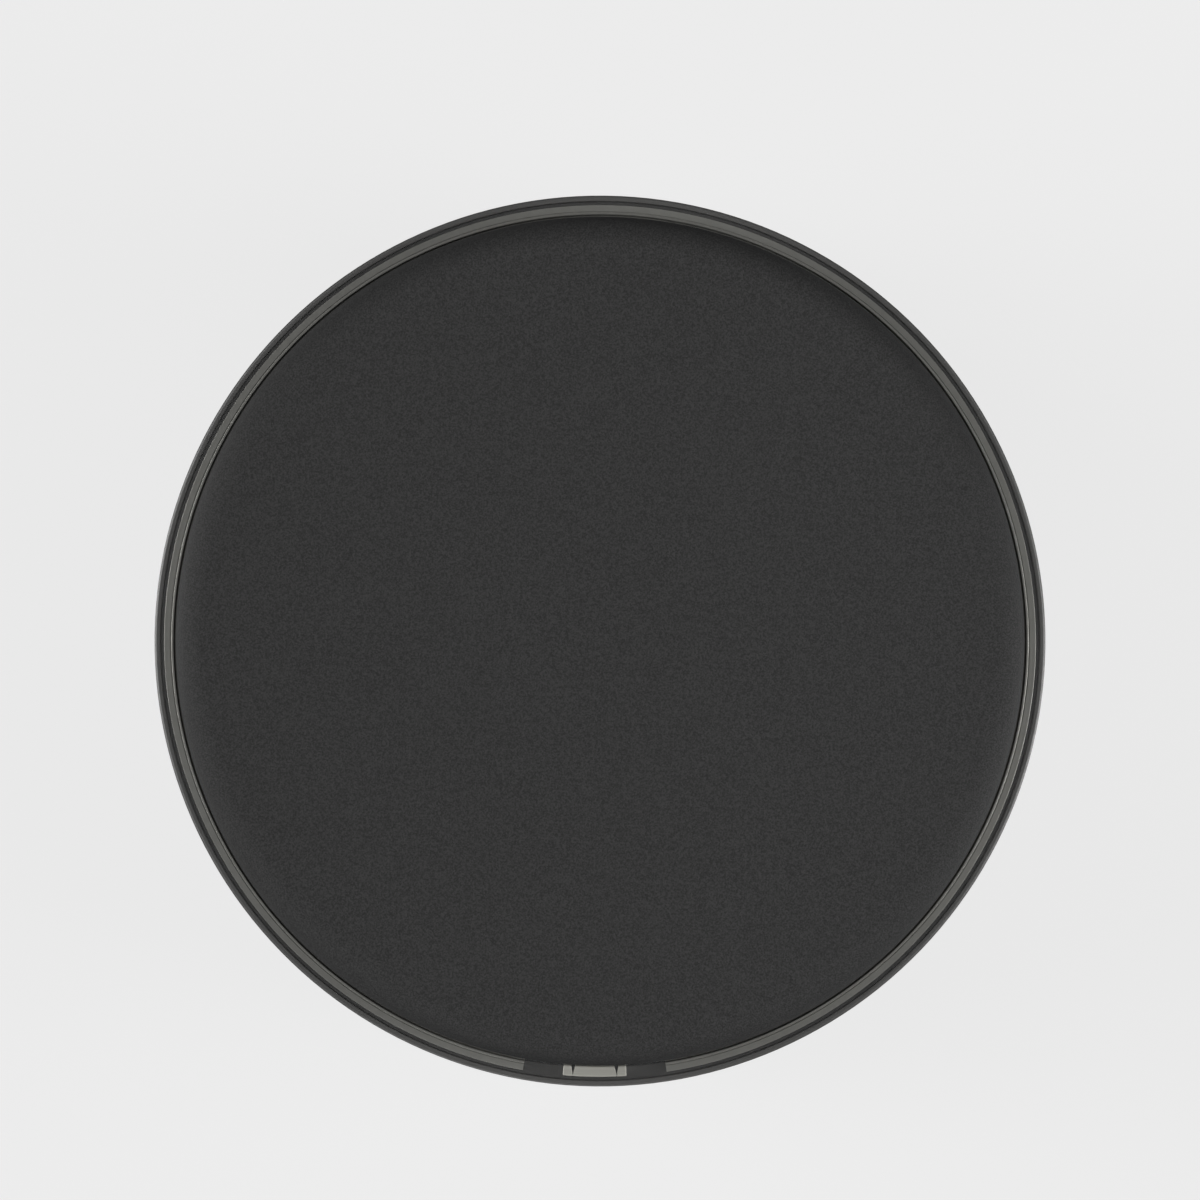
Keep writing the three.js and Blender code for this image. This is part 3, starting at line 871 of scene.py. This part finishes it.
def put(
    node: str, shell: Shell, finish: Finish, body: str, sharp: float = 38.0, bevel: float = 0.0,
) -> bpy.types.Object:
    """Makes a fine piece from a shell and lets it stand for a node of the frame.

    Args:
        node: The node that it replaces.
        shell: Its surface.
        finish: Its finish.
        body: The body that it rides on.
        sharp: Edges that bend more than this many degrees stay crisp.
        bevel: Width by which those edges are broken.

    Returns:
        The new object.
    """
    mesh = bpy.data.meshes.new(f"{node}_fine")
    mesh.from_pydata(shell.points.tolist(), [], shell.faces)
    mesh.validate()
    mesh.shade_smooth()
    mesh.set_sharp_from_angle(angle=math.radians(sharp))
    mesh.materials.append(material_of(finish))
    piece = bpy.data.objects.new(f"{node}_fine", mesh)
    bpy.context.scene.collection.objects.link(piece)
    if bevel > 0:
        broken = piece.modifiers.new("broken_edges", "BEVEL")
        broken.width, broken.segments, broken.angle_limit = bevel, 2, math.radians(sharp)
    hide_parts(node)
    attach(piece, body)
    log.info("%s: %d points, %d faces, %s", node, len(shell.points), len(shell.faces), finish.slot)
    return piece


def dress_node(node: str, finish: Finish) -> None:
    """Gives a node that keeps its own mesh a better material."""
    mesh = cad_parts[node].data
    mesh.materials.clear()
    mesh.materials.append(material_of(finish))
    log.info("%s: kept, %s", node, finish.slot)


def plain_ring(
    inner: float, outer: float, levels: tuple[float, float], corner: float, detail: Detail,
) -> Shell:
    """A ring with a rectangular section whose four corners are rounded alike."""
    low, high = levels
    outline = [(inner, low, corner), (outer, low, corner), (outer, high, corner), (inner, high, corner)]
    return revolved(rounded(outline), detail)


@dataclass
class Cup:
    """The double-walled cup: smoked outer tube, clear beaker, seals, base and foot."""

    wall: float = 2.0 * MM
    lip: float = 0.6 * MM
    rebate: float = 2.0 * MM
    beaker_wall: float = 1.8 * MM
    beaker_floor: float = 3.0 * MM
    beaker_corner: float = 5.0 * MM
    flange: float = 2.0 * MM
    jacket: float = 3.2 * MM
    seal: float = 1.2 * MM
    foot_inner: float = 31.0 * MM
    cushion_inner: float = 20.0 * MM
    base_plate: float = 3.0 * MM
    upstand: float = 1.8 * MM
    gap: float = 0.3 * MM
    tube: Extent = field(default_factory=lambda: Extent.of("outer_wall"))
    beaker: Extent = field(default_factory=lambda: Extent.of("inner_beaker"))
    base: Extent = field(default_factory=lambda: Extent.of("base_cap"))
    foot: Extent = field(default_factory=lambda: Extent.of("foot_ring"))
    cushion: Extent = field(default_factory=lambda: Extent.of("beaker_cushion"))
    rim_seal: Extent = field(default_factory=lambda: Extent.of("rim_seal"))

    def outer_wall(self) -> Shell:
        """The tube: a soft lower edge, a rounded lip, and the rebate inside it."""
        tube, inner = self.tube, self.tube.radius - self.wall
        return revolved(rounded([
            (inner, tube.low, EASED),
            (tube.radius, tube.low, 1.4 * MM),
            (tube.radius, tube.high, 0.42 * MM),
            (tube.radius - self.lip, tube.high, CRISP),
            (tube.radius - self.lip, tube.high - self.rebate, CRISP),
            (inner, tube.high - self.rebate, CRISP),
        ], steps=6), Detail.LARGE)

    def inner_beaker(self) -> Shell:
        """The beaker: a flange at the top, a straight bore and a rounded floor."""
        beaker, outer = self.beaker, self.tube.radius - self.wall - self.jacket
        bore, floor = outer - self.beaker_wall, beaker.low + self.beaker_floor
        return revolved(rounded([
            (0.0, beaker.low, SHARP),
            (outer, beaker.low, self.beaker_corner),
            (outer, beaker.high - self.flange, 0.6 * MM),
            (beaker.radius, beaker.high - self.flange, ROUND),
            (beaker.radius, beaker.high, 0.6 * MM),
            (bore, beaker.high, 0.7 * MM),
            (bore, floor, self.beaker_corner - self.beaker_wall),
            (0.0, floor, SHARP),
        ], steps=7), Detail.LARGE)

    def seal_ring(self) -> Shell:
        """The round seal under the beaker's flange."""
        centre = self.rim_seal.radius - self.seal
        middle = self.rim_seal.high - self.seal * math.sin(math.radians(60))
        sides, squash = 20, 0.86
        angle = TURN * np.arange(sides) / sides
        outline = np.column_stack([
            centre + self.seal * np.cos(angle), middle + self.seal * squash * np.sin(angle)])
        return revolved(outline, Detail.LARGE)

    def base_cap(self) -> Shell:
        """The base: a groove for the foot below and an upstand inside the tube."""
        base, groove = self.base, self.foot.high + self.gap
        top, inner = base.low + self.base_plate, base.radius - self.upstand
        return revolved(rounded([
            (0.0, base.low, SHARP),
            (self.foot_inner - self.gap, base.low, EASED),
            (self.foot_inner - self.gap, groove, BROKEN),
            (self.foot.radius + self.gap, groove, BROKEN),
            (self.foot.radius + self.gap, base.low, EASED),
            (base.radius, base.low, ROUND),
            (base.radius, base.high, SOFT),
            (inner, base.high, SOFT),
            (inner, top, 0.8 * MM),
            (0.0, top, SHARP),
        ]), Detail.LARGE)

    def foot_ring(self) -> Shell:
        """The silicone foot, its edges well rounded."""
        foot = self.foot
        return plain_ring(self.foot_inner, foot.radius, (foot.low, foot.high), ROUND, Detail.LARGE)

    def beaker_cushion(self) -> Shell:
        """The soft ring under the beaker."""
        pad = self.cushion
        return plain_ring(self.cushion_inner, pad.radius, (pad.low, pad.high), 0.7 * MM, Detail.MEDIUM)

    def build(self) -> None:
        """Makes and dresses the cup's pieces."""
        for node, shell, finish in (
            ("outer_wall", self.outer_wall(), Finish.SMOKED),
            ("inner_beaker", self.inner_beaker(), Finish.GLASS),
            ("rim_seal", self.seal_ring(), Finish.SILICONE),
            ("base_cap", self.base_cap(), Finish.MATT_BLACK),
            ("foot_ring", self.foot_ring(), Finish.SILICONE),
            ("beaker_cushion", self.beaker_cushion(), Finish.SILICONE),
        ):
            put(node, shell, finish, "vessel")


@dataclass
class Lid:
    """The flush lid: satin collar with its notch, plug with strainer slots, gasket, tongue and bush."""

    band: float = 1.0 * MM
    bevel: float = 0.2 * MM
    flange: float = 1.9 * MM
    recess: float = 1.0 * MM
    wall: float = 1.5 * MM
    ledge_width: float = 1.6 * MM
    ledge: float = 1.0 * MM
    deck: float = 2.0 * MM
    gap: float = 0.3 * MM
    notch: float = math.radians(19.0)
    notch_way: float = math.radians(-90.0)
    tongue: float = math.radians(8.4)
    slit: float = math.radians(2.9)
    slit_width: float = math.radians(0.55)
    slit_stop: float = 0.4 * MM
    slit_taper: float = 40.0
    tongue_thickness: float = 0.8 * MM
    tongue_reach: float = 3.0 * MM
    skirt_wall: float = 1.8 * MM
    skirt_foot: float = 1.5 * MM
    skirt_foot_width: float = 1.0 * MM
    slots: int = 9
    slot_step: float = math.radians(12.0)
    slot_width: float = 2.0 * MM
    slot_length: float = 12.0 * MM
    boss_wall: float = 2.7 * MM
    bush_wall: float = 2.0 * MM
    gasket_depth: float = 1.85 * MM
    rod_bore: float = 3.12 * MM
    collar: Extent = field(default_factory=lambda: Extent.of("lid_collar"))
    plug: Extent = field(default_factory=lambda: Extent.of("lid_plug"))
    gasket: Extent = field(default_factory=lambda: Extent.of("lid_gasket"))
    bush: Extent = field(default_factory=lambda: Extent.of("rod_bush"))
    seal: Extent = field(default_factory=lambda: Extent.of("rod_seal"))

    def __post_init__(self) -> None:
        """Works out the lid's own levels and radii from the frame."""
        self.seated = Extent.of("inner_beaker").radius
        self.throat = self.seated - self.wall
        self.ledge_low = self.collar.low + self.deck + self.gap
        self.skirt = self.gasket.radius - self.gasket_depth

    def lid_collar(self) -> Shell:
        """The collar: a full ring up to the ledge, and above it a ring broken by the notch.

        The visible band has a broken inner edge and a hairline groove beside it.
        """
        collar, seat = self.collar, self.collar.high - self.recess
        inner, under = collar.radius - self.band, collar.high - self.flange
        line, edge, fine, top = inner + 0.3 * MM, 0.07 * MM, 0.03 * MM, collar.high
        upper = rounded([
            (self.throat, self.ledge_low - OVERLAP, SHARP),
            (self.seated, self.ledge_low - OVERLAP, SHARP),
            (self.seated, under, CRISP),
            (collar.radius, under, CRISP),
            (collar.radius, top, 0.02 * MM),
            (line + 0.05 * MM, top, fine),
            (line + fine, top - edge, SHARP),
            (line - fine, top - edge, SHARP),
            (line - 0.05 * MM, top - 0.01 * MM, fine),
            (inner + edge, top - 0.01 * MM, fine),
            (inner, top - edge, fine),
            (inner, seat, CRISP),
            (self.throat, seat, CRISP),
            (self.throat, self.ledge_low + self.ledge, CRISP),
            (self.throat - self.ledge_width, self.ledge_low + self.ledge, 0.15 * MM),
            (self.throat - self.ledge_width, self.ledge_low, 0.15 * MM),
            (self.throat, self.ledge_low, SHARP),
        ])
        lower = rounded([
            (self.throat, collar.low, 0.15 * MM),
            (self.seated, collar.low, 0.15 * MM),
            (self.seated, self.ledge_low, SHARP),
            (self.throat, self.ledge_low, SHARP),
        ])
        start = self.notch_way + self.notch / 2
        broken = revolved(upper, Detail.LARGE, start, TURN - self.notch)
        return broken.joined(revolved(lower, Detail.LARGE))

    def lid_plug(self) -> Shell:
        """The plug: a slotted deck, a skirt with a foot that holds the gasket, and the rod's boss."""
        plug, deck_low = self.plug, self.collar.low
        deck_high = deck_low + self.deck
        bore = self.bush.radius - self.bush_wall + self.gap
        boss = bore + self.boss_wall
        inside = self.skirt - self.skirt_wall
        slot_end = inside - self.slot_width / 2
        middle = (self.slots - 1) / 2
        directions = [self.notch_way + (index - middle) * self.slot_step for index in range(self.slots)]
        slots = (slot_end - self.slot_length, slot_end, self.slot_width)
        deck = slotted_band(boss - 0.4 * MM, plug.radius, slots, directions).thickened(deck_low, deck_high)
        tower = revolved(rounded([
            (bore, self.bush.low + 1.5 * MM, BROKEN),
            (boss, self.bush.low + 1.5 * MM, SOFT),
            (boss, plug.high, SOFT),
            (bore, plug.high, BROKEN),
        ]), Detail.MEDIUM)
        foot = self.skirt + self.skirt_foot_width
        skirt = revolved(rounded([
            (inside, plug.low, SOFT),
            (foot, plug.low, SOFT),
            (foot, plug.low + self.skirt_foot, EASED),
            (self.skirt, plug.low + self.skirt_foot, CRISP),
            (self.skirt, deck_low + OVERLAP, SHARP),
            (inside, deck_low + OVERLAP, SHARP),
        ]), Detail.LARGE)
        return deck.joined(tower, skirt)

    def lid_gasket(self) -> Shell:
        """The gasket: a flat back with two soft fins that lean upwards."""
        gasket, inner = self.gasket, self.skirt + self.gap
        back, height = inner + 0.8 * MM, gasket.high - gasket.low
        fins = []
        for share in (0.25, 0.75):
            middle = gasket.low + height * share
            fins += [
                (back, middle - 0.7 * MM, EASED),
                (gasket.radius, middle + 0.45 * MM, 0.16 * MM),
                (gasket.radius - 0.25 * MM, middle + 0.75 * MM, 0.12 * MM),
                (back, middle + 0.4 * MM, 0.25 * MM),
            ]
        outline = [
            (inner, gasket.low, BROKEN),
            (back, gasket.low, EASED),
            *fins,
            (back, gasket.high, EASED),
            (inner, gasket.high, BROKEN),
        ]
        return revolved(rounded(outline), Detail.LARGE)

    def pour_lip(self) -> Shell:
        """The tongue: a ramp under the knob's edge and a flat satin pad with two slits.

        Half of a slit's angle falls evenly from its full value at the pad's inner edge to almost nothing
        short of its outer edge.
        """
        pad_end, pad_top = self.collar.radius, self.collar.high - self.bevel
        pad = Extent.of("knob_cap").radius + self.gap
        start, root = pad - self.tongue_reach, self.throat
        seat, low = self.collar.high - self.recess, self.ledge_low + self.gap
        under = seat - self.tongue_thickness
        rise = low + (root - start) * (under - low) / (pad - start)
        ramp = rounded([
            (start, low, CRISP),
            (root + OVERLAP, rise, SHARP),
            (root + OVERLAP, rise + self.tongue_thickness, SHARP),
            (start, low + self.tongue_thickness, CRISP),
        ])
        finger = rounded([
            (root, rise, SHARP),
            (pad, under, CRISP),
            (pad_end, under, CRISP),
            (pad_end, pad_top, 0.14 * MM),
            (pad, pad_top, 0.14 * MM),
            (pad, seat, CRISP),
            (root, rise + self.tongue_thickness, SHARP),
        ], steps=5)
        half, narrow = self.tongue / 2, self.slit_width / self.slit_taper
        base = revolved(ramp, Detail.LARGE, self.notch_way - half, 2 * half)
        reach = (finger[:, 0] - pad) / (pad_end - self.slit_stop - pad)
        open_half = narrow + (self.slit_width / 2 - narrow) * np.clip(1 - reach, 0, 1)
        edges = [
            (-half, -self.slit - open_half),
            (-self.slit + open_half, self.slit - open_half),
            (self.slit + open_half, half),
        ]
        fingers = [
            revolved(finger, Detail.LARGE, self.notch_way + first, last - first) for first, last in edges
        ]
        return base.joined(*fingers)

    def rod_bush(self) -> Shell:
        """The bush: a plain sleeve with a flange under the boss."""
        outer, flange = self.bush.radius - self.bush_wall, self.bush.low + 1.2 * MM
        return revolved(rounded([
            (self.rod_bore, self.bush.low, EASED),
            (self.bush.radius, self.bush.low, 0.35 * MM),
            (self.bush.radius, flange, EASED),
            (outer, flange, CRISP),
            (outer, self.bush.high, EASED),
            (self.rod_bore, self.bush.high, EASED),
        ]), Detail.SMALL)

    def rod_seal(self) -> Shell:
        """The rod's seal: a ring that thins to a lip against the rod."""
        seal = self.seal
        return revolved(rounded([
            (self.rod_bore + 0.7 * MM, seal.low, BROKEN),
            (seal.radius, seal.low, EASED),
            (seal.radius, seal.high, EASED),
            (self.rod_bore, seal.high, BROKEN),
            (self.rod_bore, seal.high - 0.5 * MM, BROKEN),
        ]), Detail.SMALL)

    def build(self) -> None:
        """Makes and dresses the lid's pieces."""
        put("lid_collar", self.lid_collar(), Finish.SATIN_GREY, "lid")
        put("lid_plug", self.lid_plug(), Finish.MATT_BLACK, "lid")
        put("lid_gasket", self.lid_gasket(), Finish.SILICONE, "lid_seal")
        put("pour_lip", self.pour_lip(), Finish.TONGUE, "lid", bevel=0.05 * MM)
        put("rod_bush", self.rod_bush(), Finish.ACETAL, "rod_guide")
        put("rod_seal", self.rod_seal(), Finish.SILICONE, "lid")


@dataclass
class Knob:
    """The wide disc on top: a soft-touch cap, its base plate, insert and screws."""

    edge: float = 3.0 * MM
    shell: float = 2.0 * MM
    hub: float = 8.0 * MM
    post: float = 4.5 * MM
    screw: float = 1.3 * MM
    head: float = 2.6 * MM
    head_height: float = 1.1 * MM
    rod_hole: float = 3.3 * MM
    gap: float = 0.3 * MM
    web: float = 0.7 * MM
    sunk: float = 0.5 * MM
    socket: float = 1.0 * MM
    socket_depth: float = 0.7 * MM
    screws: int = 3
    circle: float = 26.0 * MM
    cap: Extent = field(default_factory=lambda: Extent.of("knob_cap"))
    base: Extent = field(default_factory=lambda: Extent.of("knob_base"))
    insert: Extent = field(default_factory=lambda: Extent.of("knob_insert"))

    def places(self) -> list[tuple[float, float]]:
        """Where the screws stand."""
        angles = [math.pi / 2 + TURN * index / self.screws for index in range(self.screws)]
        return [(self.circle * math.cos(angle), self.circle * math.sin(angle)) for angle in angles]

    def knob_cap(self) -> Shell:
        """The cap: a broad flat top whose edge rolls over, a short side, and posts inside."""
        cap, roof = self.cap, self.cap.high - self.shell
        inner = cap.radius - self.shell
        dome = revolved(rounded([
            (0.0, roof, SHARP),
            (inner, roof, 1.0 * MM),
            (inner, cap.low, BROKEN),
            (cap.radius, cap.low, ROUND),
            (cap.radius, cap.high, self.edge),
            (0.0, cap.high, SHARP),
        ], steps=12), Detail.LARGE)
        levels = (self.base.high + self.gap, roof + self.sunk)
        hub = plain_ring(self.insert.radius + self.gap, self.hub, levels, EASED, Detail.SMALL)
        post = plain_ring(self.screw + self.gap, self.post, levels, EASED, Detail.SMALL)
        posts = [post.moved(x, y) for x, y in self.places()]
        return dome.joined(hub, *posts)

    def knob_screw(self, x: float, y: float, high: float) -> Shell:
        """One screw: a domed head with a hexagon socket below, and a plain shank."""
        top = self.base.high - self.web - self.gap
        bottom = top - self.head_height
        socket, socket_top = self.socket, bottom + self.socket_depth
        outline = rounded([
            (0.0, socket_top, SHARP),
            (socket, socket_top, SHARP),
            (socket, bottom, 0.08 * MM),
            (self.head, bottom, 0.45 * MM),
            (self.head, top, CRISP),
            (self.screw, top, CRISP),
            (self.screw, high, EASED),
            (0.0, high, SHARP),
        ])
        shell = revolved(outline, Detail.SMALL)
        inside = shell.points[:, 2] < socket_top + 0.05 * MM
        shell.points[inside] = hexed(shell.points[inside], below=socket * 1.12, across=socket * 0.92)
        return shell.moved(x, y)

    def knob_insert(self) -> Shell:
        """The brass insert, with shallow flutes round it."""
        insert = self.insert
        levels = (insert.low, insert.high)
        shell = plain_ring(self.rod_hole, insert.radius, levels, 0.25 * MM, Detail.MEDIUM)
        return fluted(shell, beyond=insert.radius * 0.9, count=24, depth=0.12 * MM)

    def build(self) -> None:
        """Makes and dresses the knob's pieces; its base keeps the frame's own mesh, bored and sunk."""
        put("knob_cap", self.knob_cap(), Finish.SOFT_TOUCH, "plunger", sharp=60.0)
        dress_node("knob_base", Finish.MATT_BLACK)
        put("knob_insert", self.knob_insert(), Finish.BRASS, "plunger")
        for index, (x, y) in enumerate(self.places()):
            node = f"knob_screw_{index + 1}"
            put(node, self.knob_screw(x, y, Extent.of(node).high), Finish.SATIN_STEEL, "plunger")


@dataclass
class Plunger:
    """The rod and the filter stack: hub, spring plate, coil, mesh, cross plate and nut."""

    rod_hole: float = 3.3 * MM
    wire: float = 0.32 * MM
    turns: int = 116
    turn_steps: int = 14
    wire_sides: int = 7
    mesh_thickness: float = 0.4 * MM
    crimps: int = 72
    crimp_depth: float = 0.22 * MM
    plate_columns: int = 144
    outer_holes: int = 12
    inner_holes: int = 8
    windows: int = 6
    rod: Extent = field(default_factory=lambda: Extent.of("plunger_rod"))
    hub: Extent = field(default_factory=lambda: Extent.of("filter_hub"))
    spring: Extent = field(default_factory=lambda: Extent.of("spring_plate"))
    coil: Extent = field(default_factory=lambda: Extent.of("filter_coil"))
    mesh: Extent = field(default_factory=lambda: Extent.of("filter_mesh"))
    cross: Extent = field(default_factory=lambda: Extent.of("cross_plate"))
    nut: Extent = field(default_factory=lambda: Extent.of("filter_nut"))

    def plunger_rod(self) -> Shell:
        """The rod, chamfered at both ends."""
        rod = self.rod
        return revolved(rounded([
            (0.0, rod.low, SHARP),
            (rod.radius, rod.low, ROUND),
            (rod.radius, rod.high, ROUND),
            (0.0, rod.high, SHARP),
        ]), Detail.MEDIUM)

    def filter_hub(self) -> Shell:
        """The hub: a wide foot with flutes to grip, and a slim neck."""
        hub = self.hub
        step = hub.low + (hub.high - hub.low) / 3
        neck = (hub.radius + self.rod_hole) / 2
        shell = revolved(rounded([
            (self.rod_hole, hub.low, BROKEN),
            (hub.radius, hub.low, EASED),
            (hub.radius, step, SOFT),
            (neck, step + 1.0 * MM, ROUND),
            (neck, hub.high, SOFT),
            (self.rod_hole, hub.high, BROKEN),
        ]), Detail.MEDIUM)
        return fluted(shell, beyond=hub.radius * 0.93, count=24, depth=0.15 * MM)

    def spring_plate(self) -> Shell:
        """The spring plate: two rows of round holes, and an edge that the coil sits on."""
        spring, columns = self.spring, self.plate_columns
        hole, small = 4.0 * MM, 3.0 * MM
        outer_circle = spring.radius - 2 * hole
        inner_circle = (self.hub.radius + outer_circle) / 2
        outer_half, inner_half = hole + 0.8 * MM, small + 1.2 * MM
        first, second = inner_circle - inner_half, inner_circle + inner_half
        third, fourth = outer_circle - outer_half, outer_circle + outer_half
        rows = [
            plain_band(self.rod_hole, first, columns, rows=3),
            drilled_band(first, second, self.inner_holes, small, columns),
            plain_band(second, third, columns),
            drilled_band(third, fourth, self.outer_holes, hole, columns),
            plain_band(fourth, spring.radius, columns, rows=2),
        ]
        return rows[0].joined(*rows[1:]).thickened(spring.low, spring.high)

    def filter_coil(self) -> Shell:
        """The coiled wire: a helix bent into a ring.

        At angle a round the ring, the wire's centre stands off the ring's centre line by the coil's
        radius, turned by the number of turns times a.
        """
        coil = self.coil
        half = (coil.high - coil.low) / 2
        middle, lay = coil.radius - half, half - self.wire
        steps = self.turns * self.turn_steps
        angle = TURN * np.arange(steps) / steps
        wind = self.turns * angle
        centre = np.column_stack([
            middle * np.cos(angle), middle * np.sin(angle), np.full(steps, coil.low + half)])
        out = middle + lay * np.cos(wind)
        path = np.column_stack([
            out * np.cos(angle), out * np.sin(angle), coil.low + half + lay * np.sin(wind)])
        return piped(path, centre, self.wire, self.wire_sides)

    def filter_mesh(self) -> Shell:
        """The mesh dish: a flat floor and a rim folded up, crimped in small waves that grow upwards."""
        mesh = self.mesh
        top = mesh.low + self.mesh_thickness
        shell = revolved(rounded([
            (self.rod_hole, mesh.low, SHARP),
            (mesh.radius, mesh.low, 0.9 * MM),
            (mesh.radius, mesh.high, CRISP),
            (mesh.radius - self.mesh_thickness, mesh.high, CRISP),
            (mesh.radius - self.mesh_thickness, top, ROUND),
            (self.rod_hole, top, SHARP),
        ], steps=5), Detail.LARGE)
        x, y, z = shell.points.T
        rise = np.clip((z - top) / (mesh.high - top), 0, 1)
        wave = 0.5 - 0.5 * np.cos(self.crimps * np.arctan2(y, x))
        scale = 1 - self.crimp_depth * rise * wave / np.hypot(x, y)
        return Shell(np.column_stack([x * scale, y * scale, z]), shell.faces)

    def cross_plate(self) -> Shell:
        """The cross plate: a ring and a centre joined by the metal between six round windows."""
        cross, columns, window = self.cross, self.plate_columns, 6.5 * MM
        circle = (self.nut.radius + cross.radius) / 2
        half = window + 1.0 * MM
        rows = [
            plain_band(self.rod_hole, circle - half, columns, rows=3),
            drilled_band(circle - half, circle + half, self.windows, window, columns),
            plain_band(circle + half, cross.radius, columns, rows=2),
        ]
        return rows[0].joined(*rows[1:]).thickened(cross.low, cross.high)

    def filter_nut(self) -> Shell:
        """The nut: a blind, fluted cap under the stack."""
        nut = self.nut
        shell = revolved(rounded([
            (0.0, nut.low, SHARP),
            (nut.radius, nut.low, 0.6 * MM),
            (nut.radius, nut.high, EASED),
            (self.rod_hole, nut.high, BROKEN),
            (self.rod_hole, nut.low + 1.2 * MM, CRISP),
            (0.0, nut.low + 1.2 * MM, SHARP),
        ]), Detail.MEDIUM)
        return fluted(shell, beyond=nut.radius * 0.9, count=16, depth=0.35 * MM)

    def build(self) -> None:
        """Makes and dresses the plunger's pieces."""
        put("plunger_rod", self.plunger_rod(), Finish.POLISHED, "plunger")
        put("filter_hub", self.filter_hub(), Finish.SATIN_STEEL, "plunger")
        put("spring_plate", self.spring_plate(), Finish.SATIN_STEEL, "plunger")
        put("filter_coil", self.filter_coil(), Finish.POLISHED_WIRE, "plunger", sharp=80.0)
        put("filter_mesh", self.filter_mesh(), Finish.WOVEN, "plunger")
        put("cross_plate", self.cross_plate(), Finish.SATIN_STEEL, "plunger")
        put("filter_nut", self.filter_nut(), Finish.SATIN_STEEL, "plunger")


# ---------------------------------------------------------------------------------------------------
# The studio
# ---------------------------------------------------------------------------------------------------


@dataclass(frozen=True)
class Softbox:
    """A soft rectangular light that faces a point on the axis."""

    name: str
    place: tuple[float, float, float]
    aim: float
    width: float
    height: float
    power: float

    def build(self) -> None:
        """Makes the light, turned towards the axis at the height of its aim."""
        light = bpy.data.lights.new(self.name, "AREA")
        light.shape = "RECTANGLE"
        light.size, light.size_y = self.width, self.height
        light.energy = self.power
        lamp = bpy.data.objects.new(self.name, light)
        bpy.context.scene.collection.objects.link(lamp)
        lamp.location = self.place
        away = Vector(self.place) - Vector((0.0, 0.0, self.aim))
        lamp.rotation_euler = away.to_track_quat("Z", "Y").to_euler()
        lamp.visible_camera = False


@dataclass
class Studio:
    """Pale floor, soft lights and a camera that looks straight down, turned a little about its view."""

    lens: float = 523.0
    height: float = 1.8
    shift: float = 0.0342
    roll: float = math.radians(0.7)
    near: float = 0.1
    far: float = 30.0
    floor_colour: Colour = (0.84, 0.84, 0.84)
    floor_glow: float = 0.9
    floor_radius: float = 6.0
    floor_sides: int = 64
    floor_fade: tuple[float, float] = (0.25, 0.7)
    ambient: float = 0.075
    mirrored: float = 0.14
    lights: tuple[Softbox, ...] = (
        Softbox("left_strip", place=(-1.3, 0.1, 0.1), aim=0.1, width=0.32, height=2.2, power=14.0),
        Softbox("right_strip", place=(1.3, -0.2, 0.1), aim=0.1, width=0.42, height=2.2, power=14.0),
        Softbox("front_fill", place=(-0.3, -1.6, 0.5), aim=0.1, width=1.2, height=0.6, power=9.0),
        Softbox("left_softbox", place=(-1.4, 0.15, 1.4), aim=0.15, width=1.1, height=0.9, power=23.0),
        Softbox("right_softbox", place=(0.42, -0.05, 0.52), aim=0.15, width=0.3, height=0.3, power=1.9),
    )

    def floor(self) -> None:
        """A broad pale disc: most of its brightness is its own, and the lit part fades out far away."""
        angle = TURN * np.arange(self.floor_sides) / self.floor_sides
        rim = self.floor_radius * np.column_stack([np.cos(angle), np.sin(angle), np.zeros_like(angle)])
        mesh = bpy.data.meshes.new("floor")
        mesh.from_pydata(rim.tolist(), [], [tuple(range(self.floor_sides))])
        graph = Graph("pale_floor")
        tone = (graph.noise(0.4, detail=1.0) * 0.02 + 0.98) * (1 - graph.radius().above(*self.floor_fade))
        pale = scaled(self.floor_colour, 1 - self.floor_glow)
        mesh.materials.append(graph.dress(
            base_color=graph.mixed(tone, (0.0, 0.0, 0.0), pale), roughness=1.0, specular_ior_level=0.0,
            emission_color=(*scaled(self.floor_colour, self.floor_glow), 1.0), emission_strength=1.0))
        piece = bpy.data.objects.new("floor", mesh)
        bpy.context.scene.collection.objects.link(piece)
        piece.visible_diffuse = False
        piece.visible_glossy = False
        piece.visible_shadow = False

    def camera(self, rim: float) -> None:
        """The camera: far above the rim, with a long lens, its view shifted a little upwards."""
        data = bpy.data.cameras.new("camera")
        data.lens = self.lens
        data.sensor_width = 36.0
        data.shift_y = self.shift
        data.clip_start, data.clip_end = self.near, self.far
        data.dof.use_dof = False
        camera = bpy.data.objects.new("camera", data)
        bpy.context.scene.collection.objects.link(camera)
        camera.location = (0.0, 0.0, rim + self.height)
        camera.rotation_euler = (0.0, 0.0, self.roll)
        bpy.context.scene.camera = camera

    def sky(self) -> None:
        """The world: one brightness is seen behind the object, one is mirrored in it and one lights it."""
        world = bpy.data.worlds.new("studio_world")
        world.use_nodes = True
        sky = Sky(world)
        seen = sky.node("ShaderNodeLightPath", {}, {}, "Is Camera Ray")
        shine = sky.node("ShaderNodeLightPath", {}, {}, "Is Glossy Ray")
        backdrop = self.floor_colour[0] * self.floor_glow
        strength = self.ambient + seen * (backdrop - self.ambient) + shine * (self.mirrored - self.ambient)
        background = world.node_tree.nodes["Background"]
        background.inputs["Color"].default_value = (1.0, 1.0, 1.0, 1.0)
        sky.feed(background.inputs["Strength"], strength)
        bpy.context.scene.world = world

    def build(self, rim: float) -> None:
        """Makes the studio round an object whose rim stands at the given height."""
        view = bpy.context.scene.view_settings
        view.view_transform = "Standard"
        view.look = "None"
        self.sky()
        self.floor()
        self.camera(rim)
        for light in self.lights:
            light.build()


def main() -> None:
    """Builds the press and its studio."""
    logging.basicConfig(level=logging.INFO, format="%(name)s %(message)s")
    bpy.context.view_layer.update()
    Studio().build(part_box("outer_wall")[1].z)
    Cup().build()
    Lid().build()
    Knob().build()
    Plunger().build()


if __name__ == "__main__":
    main()
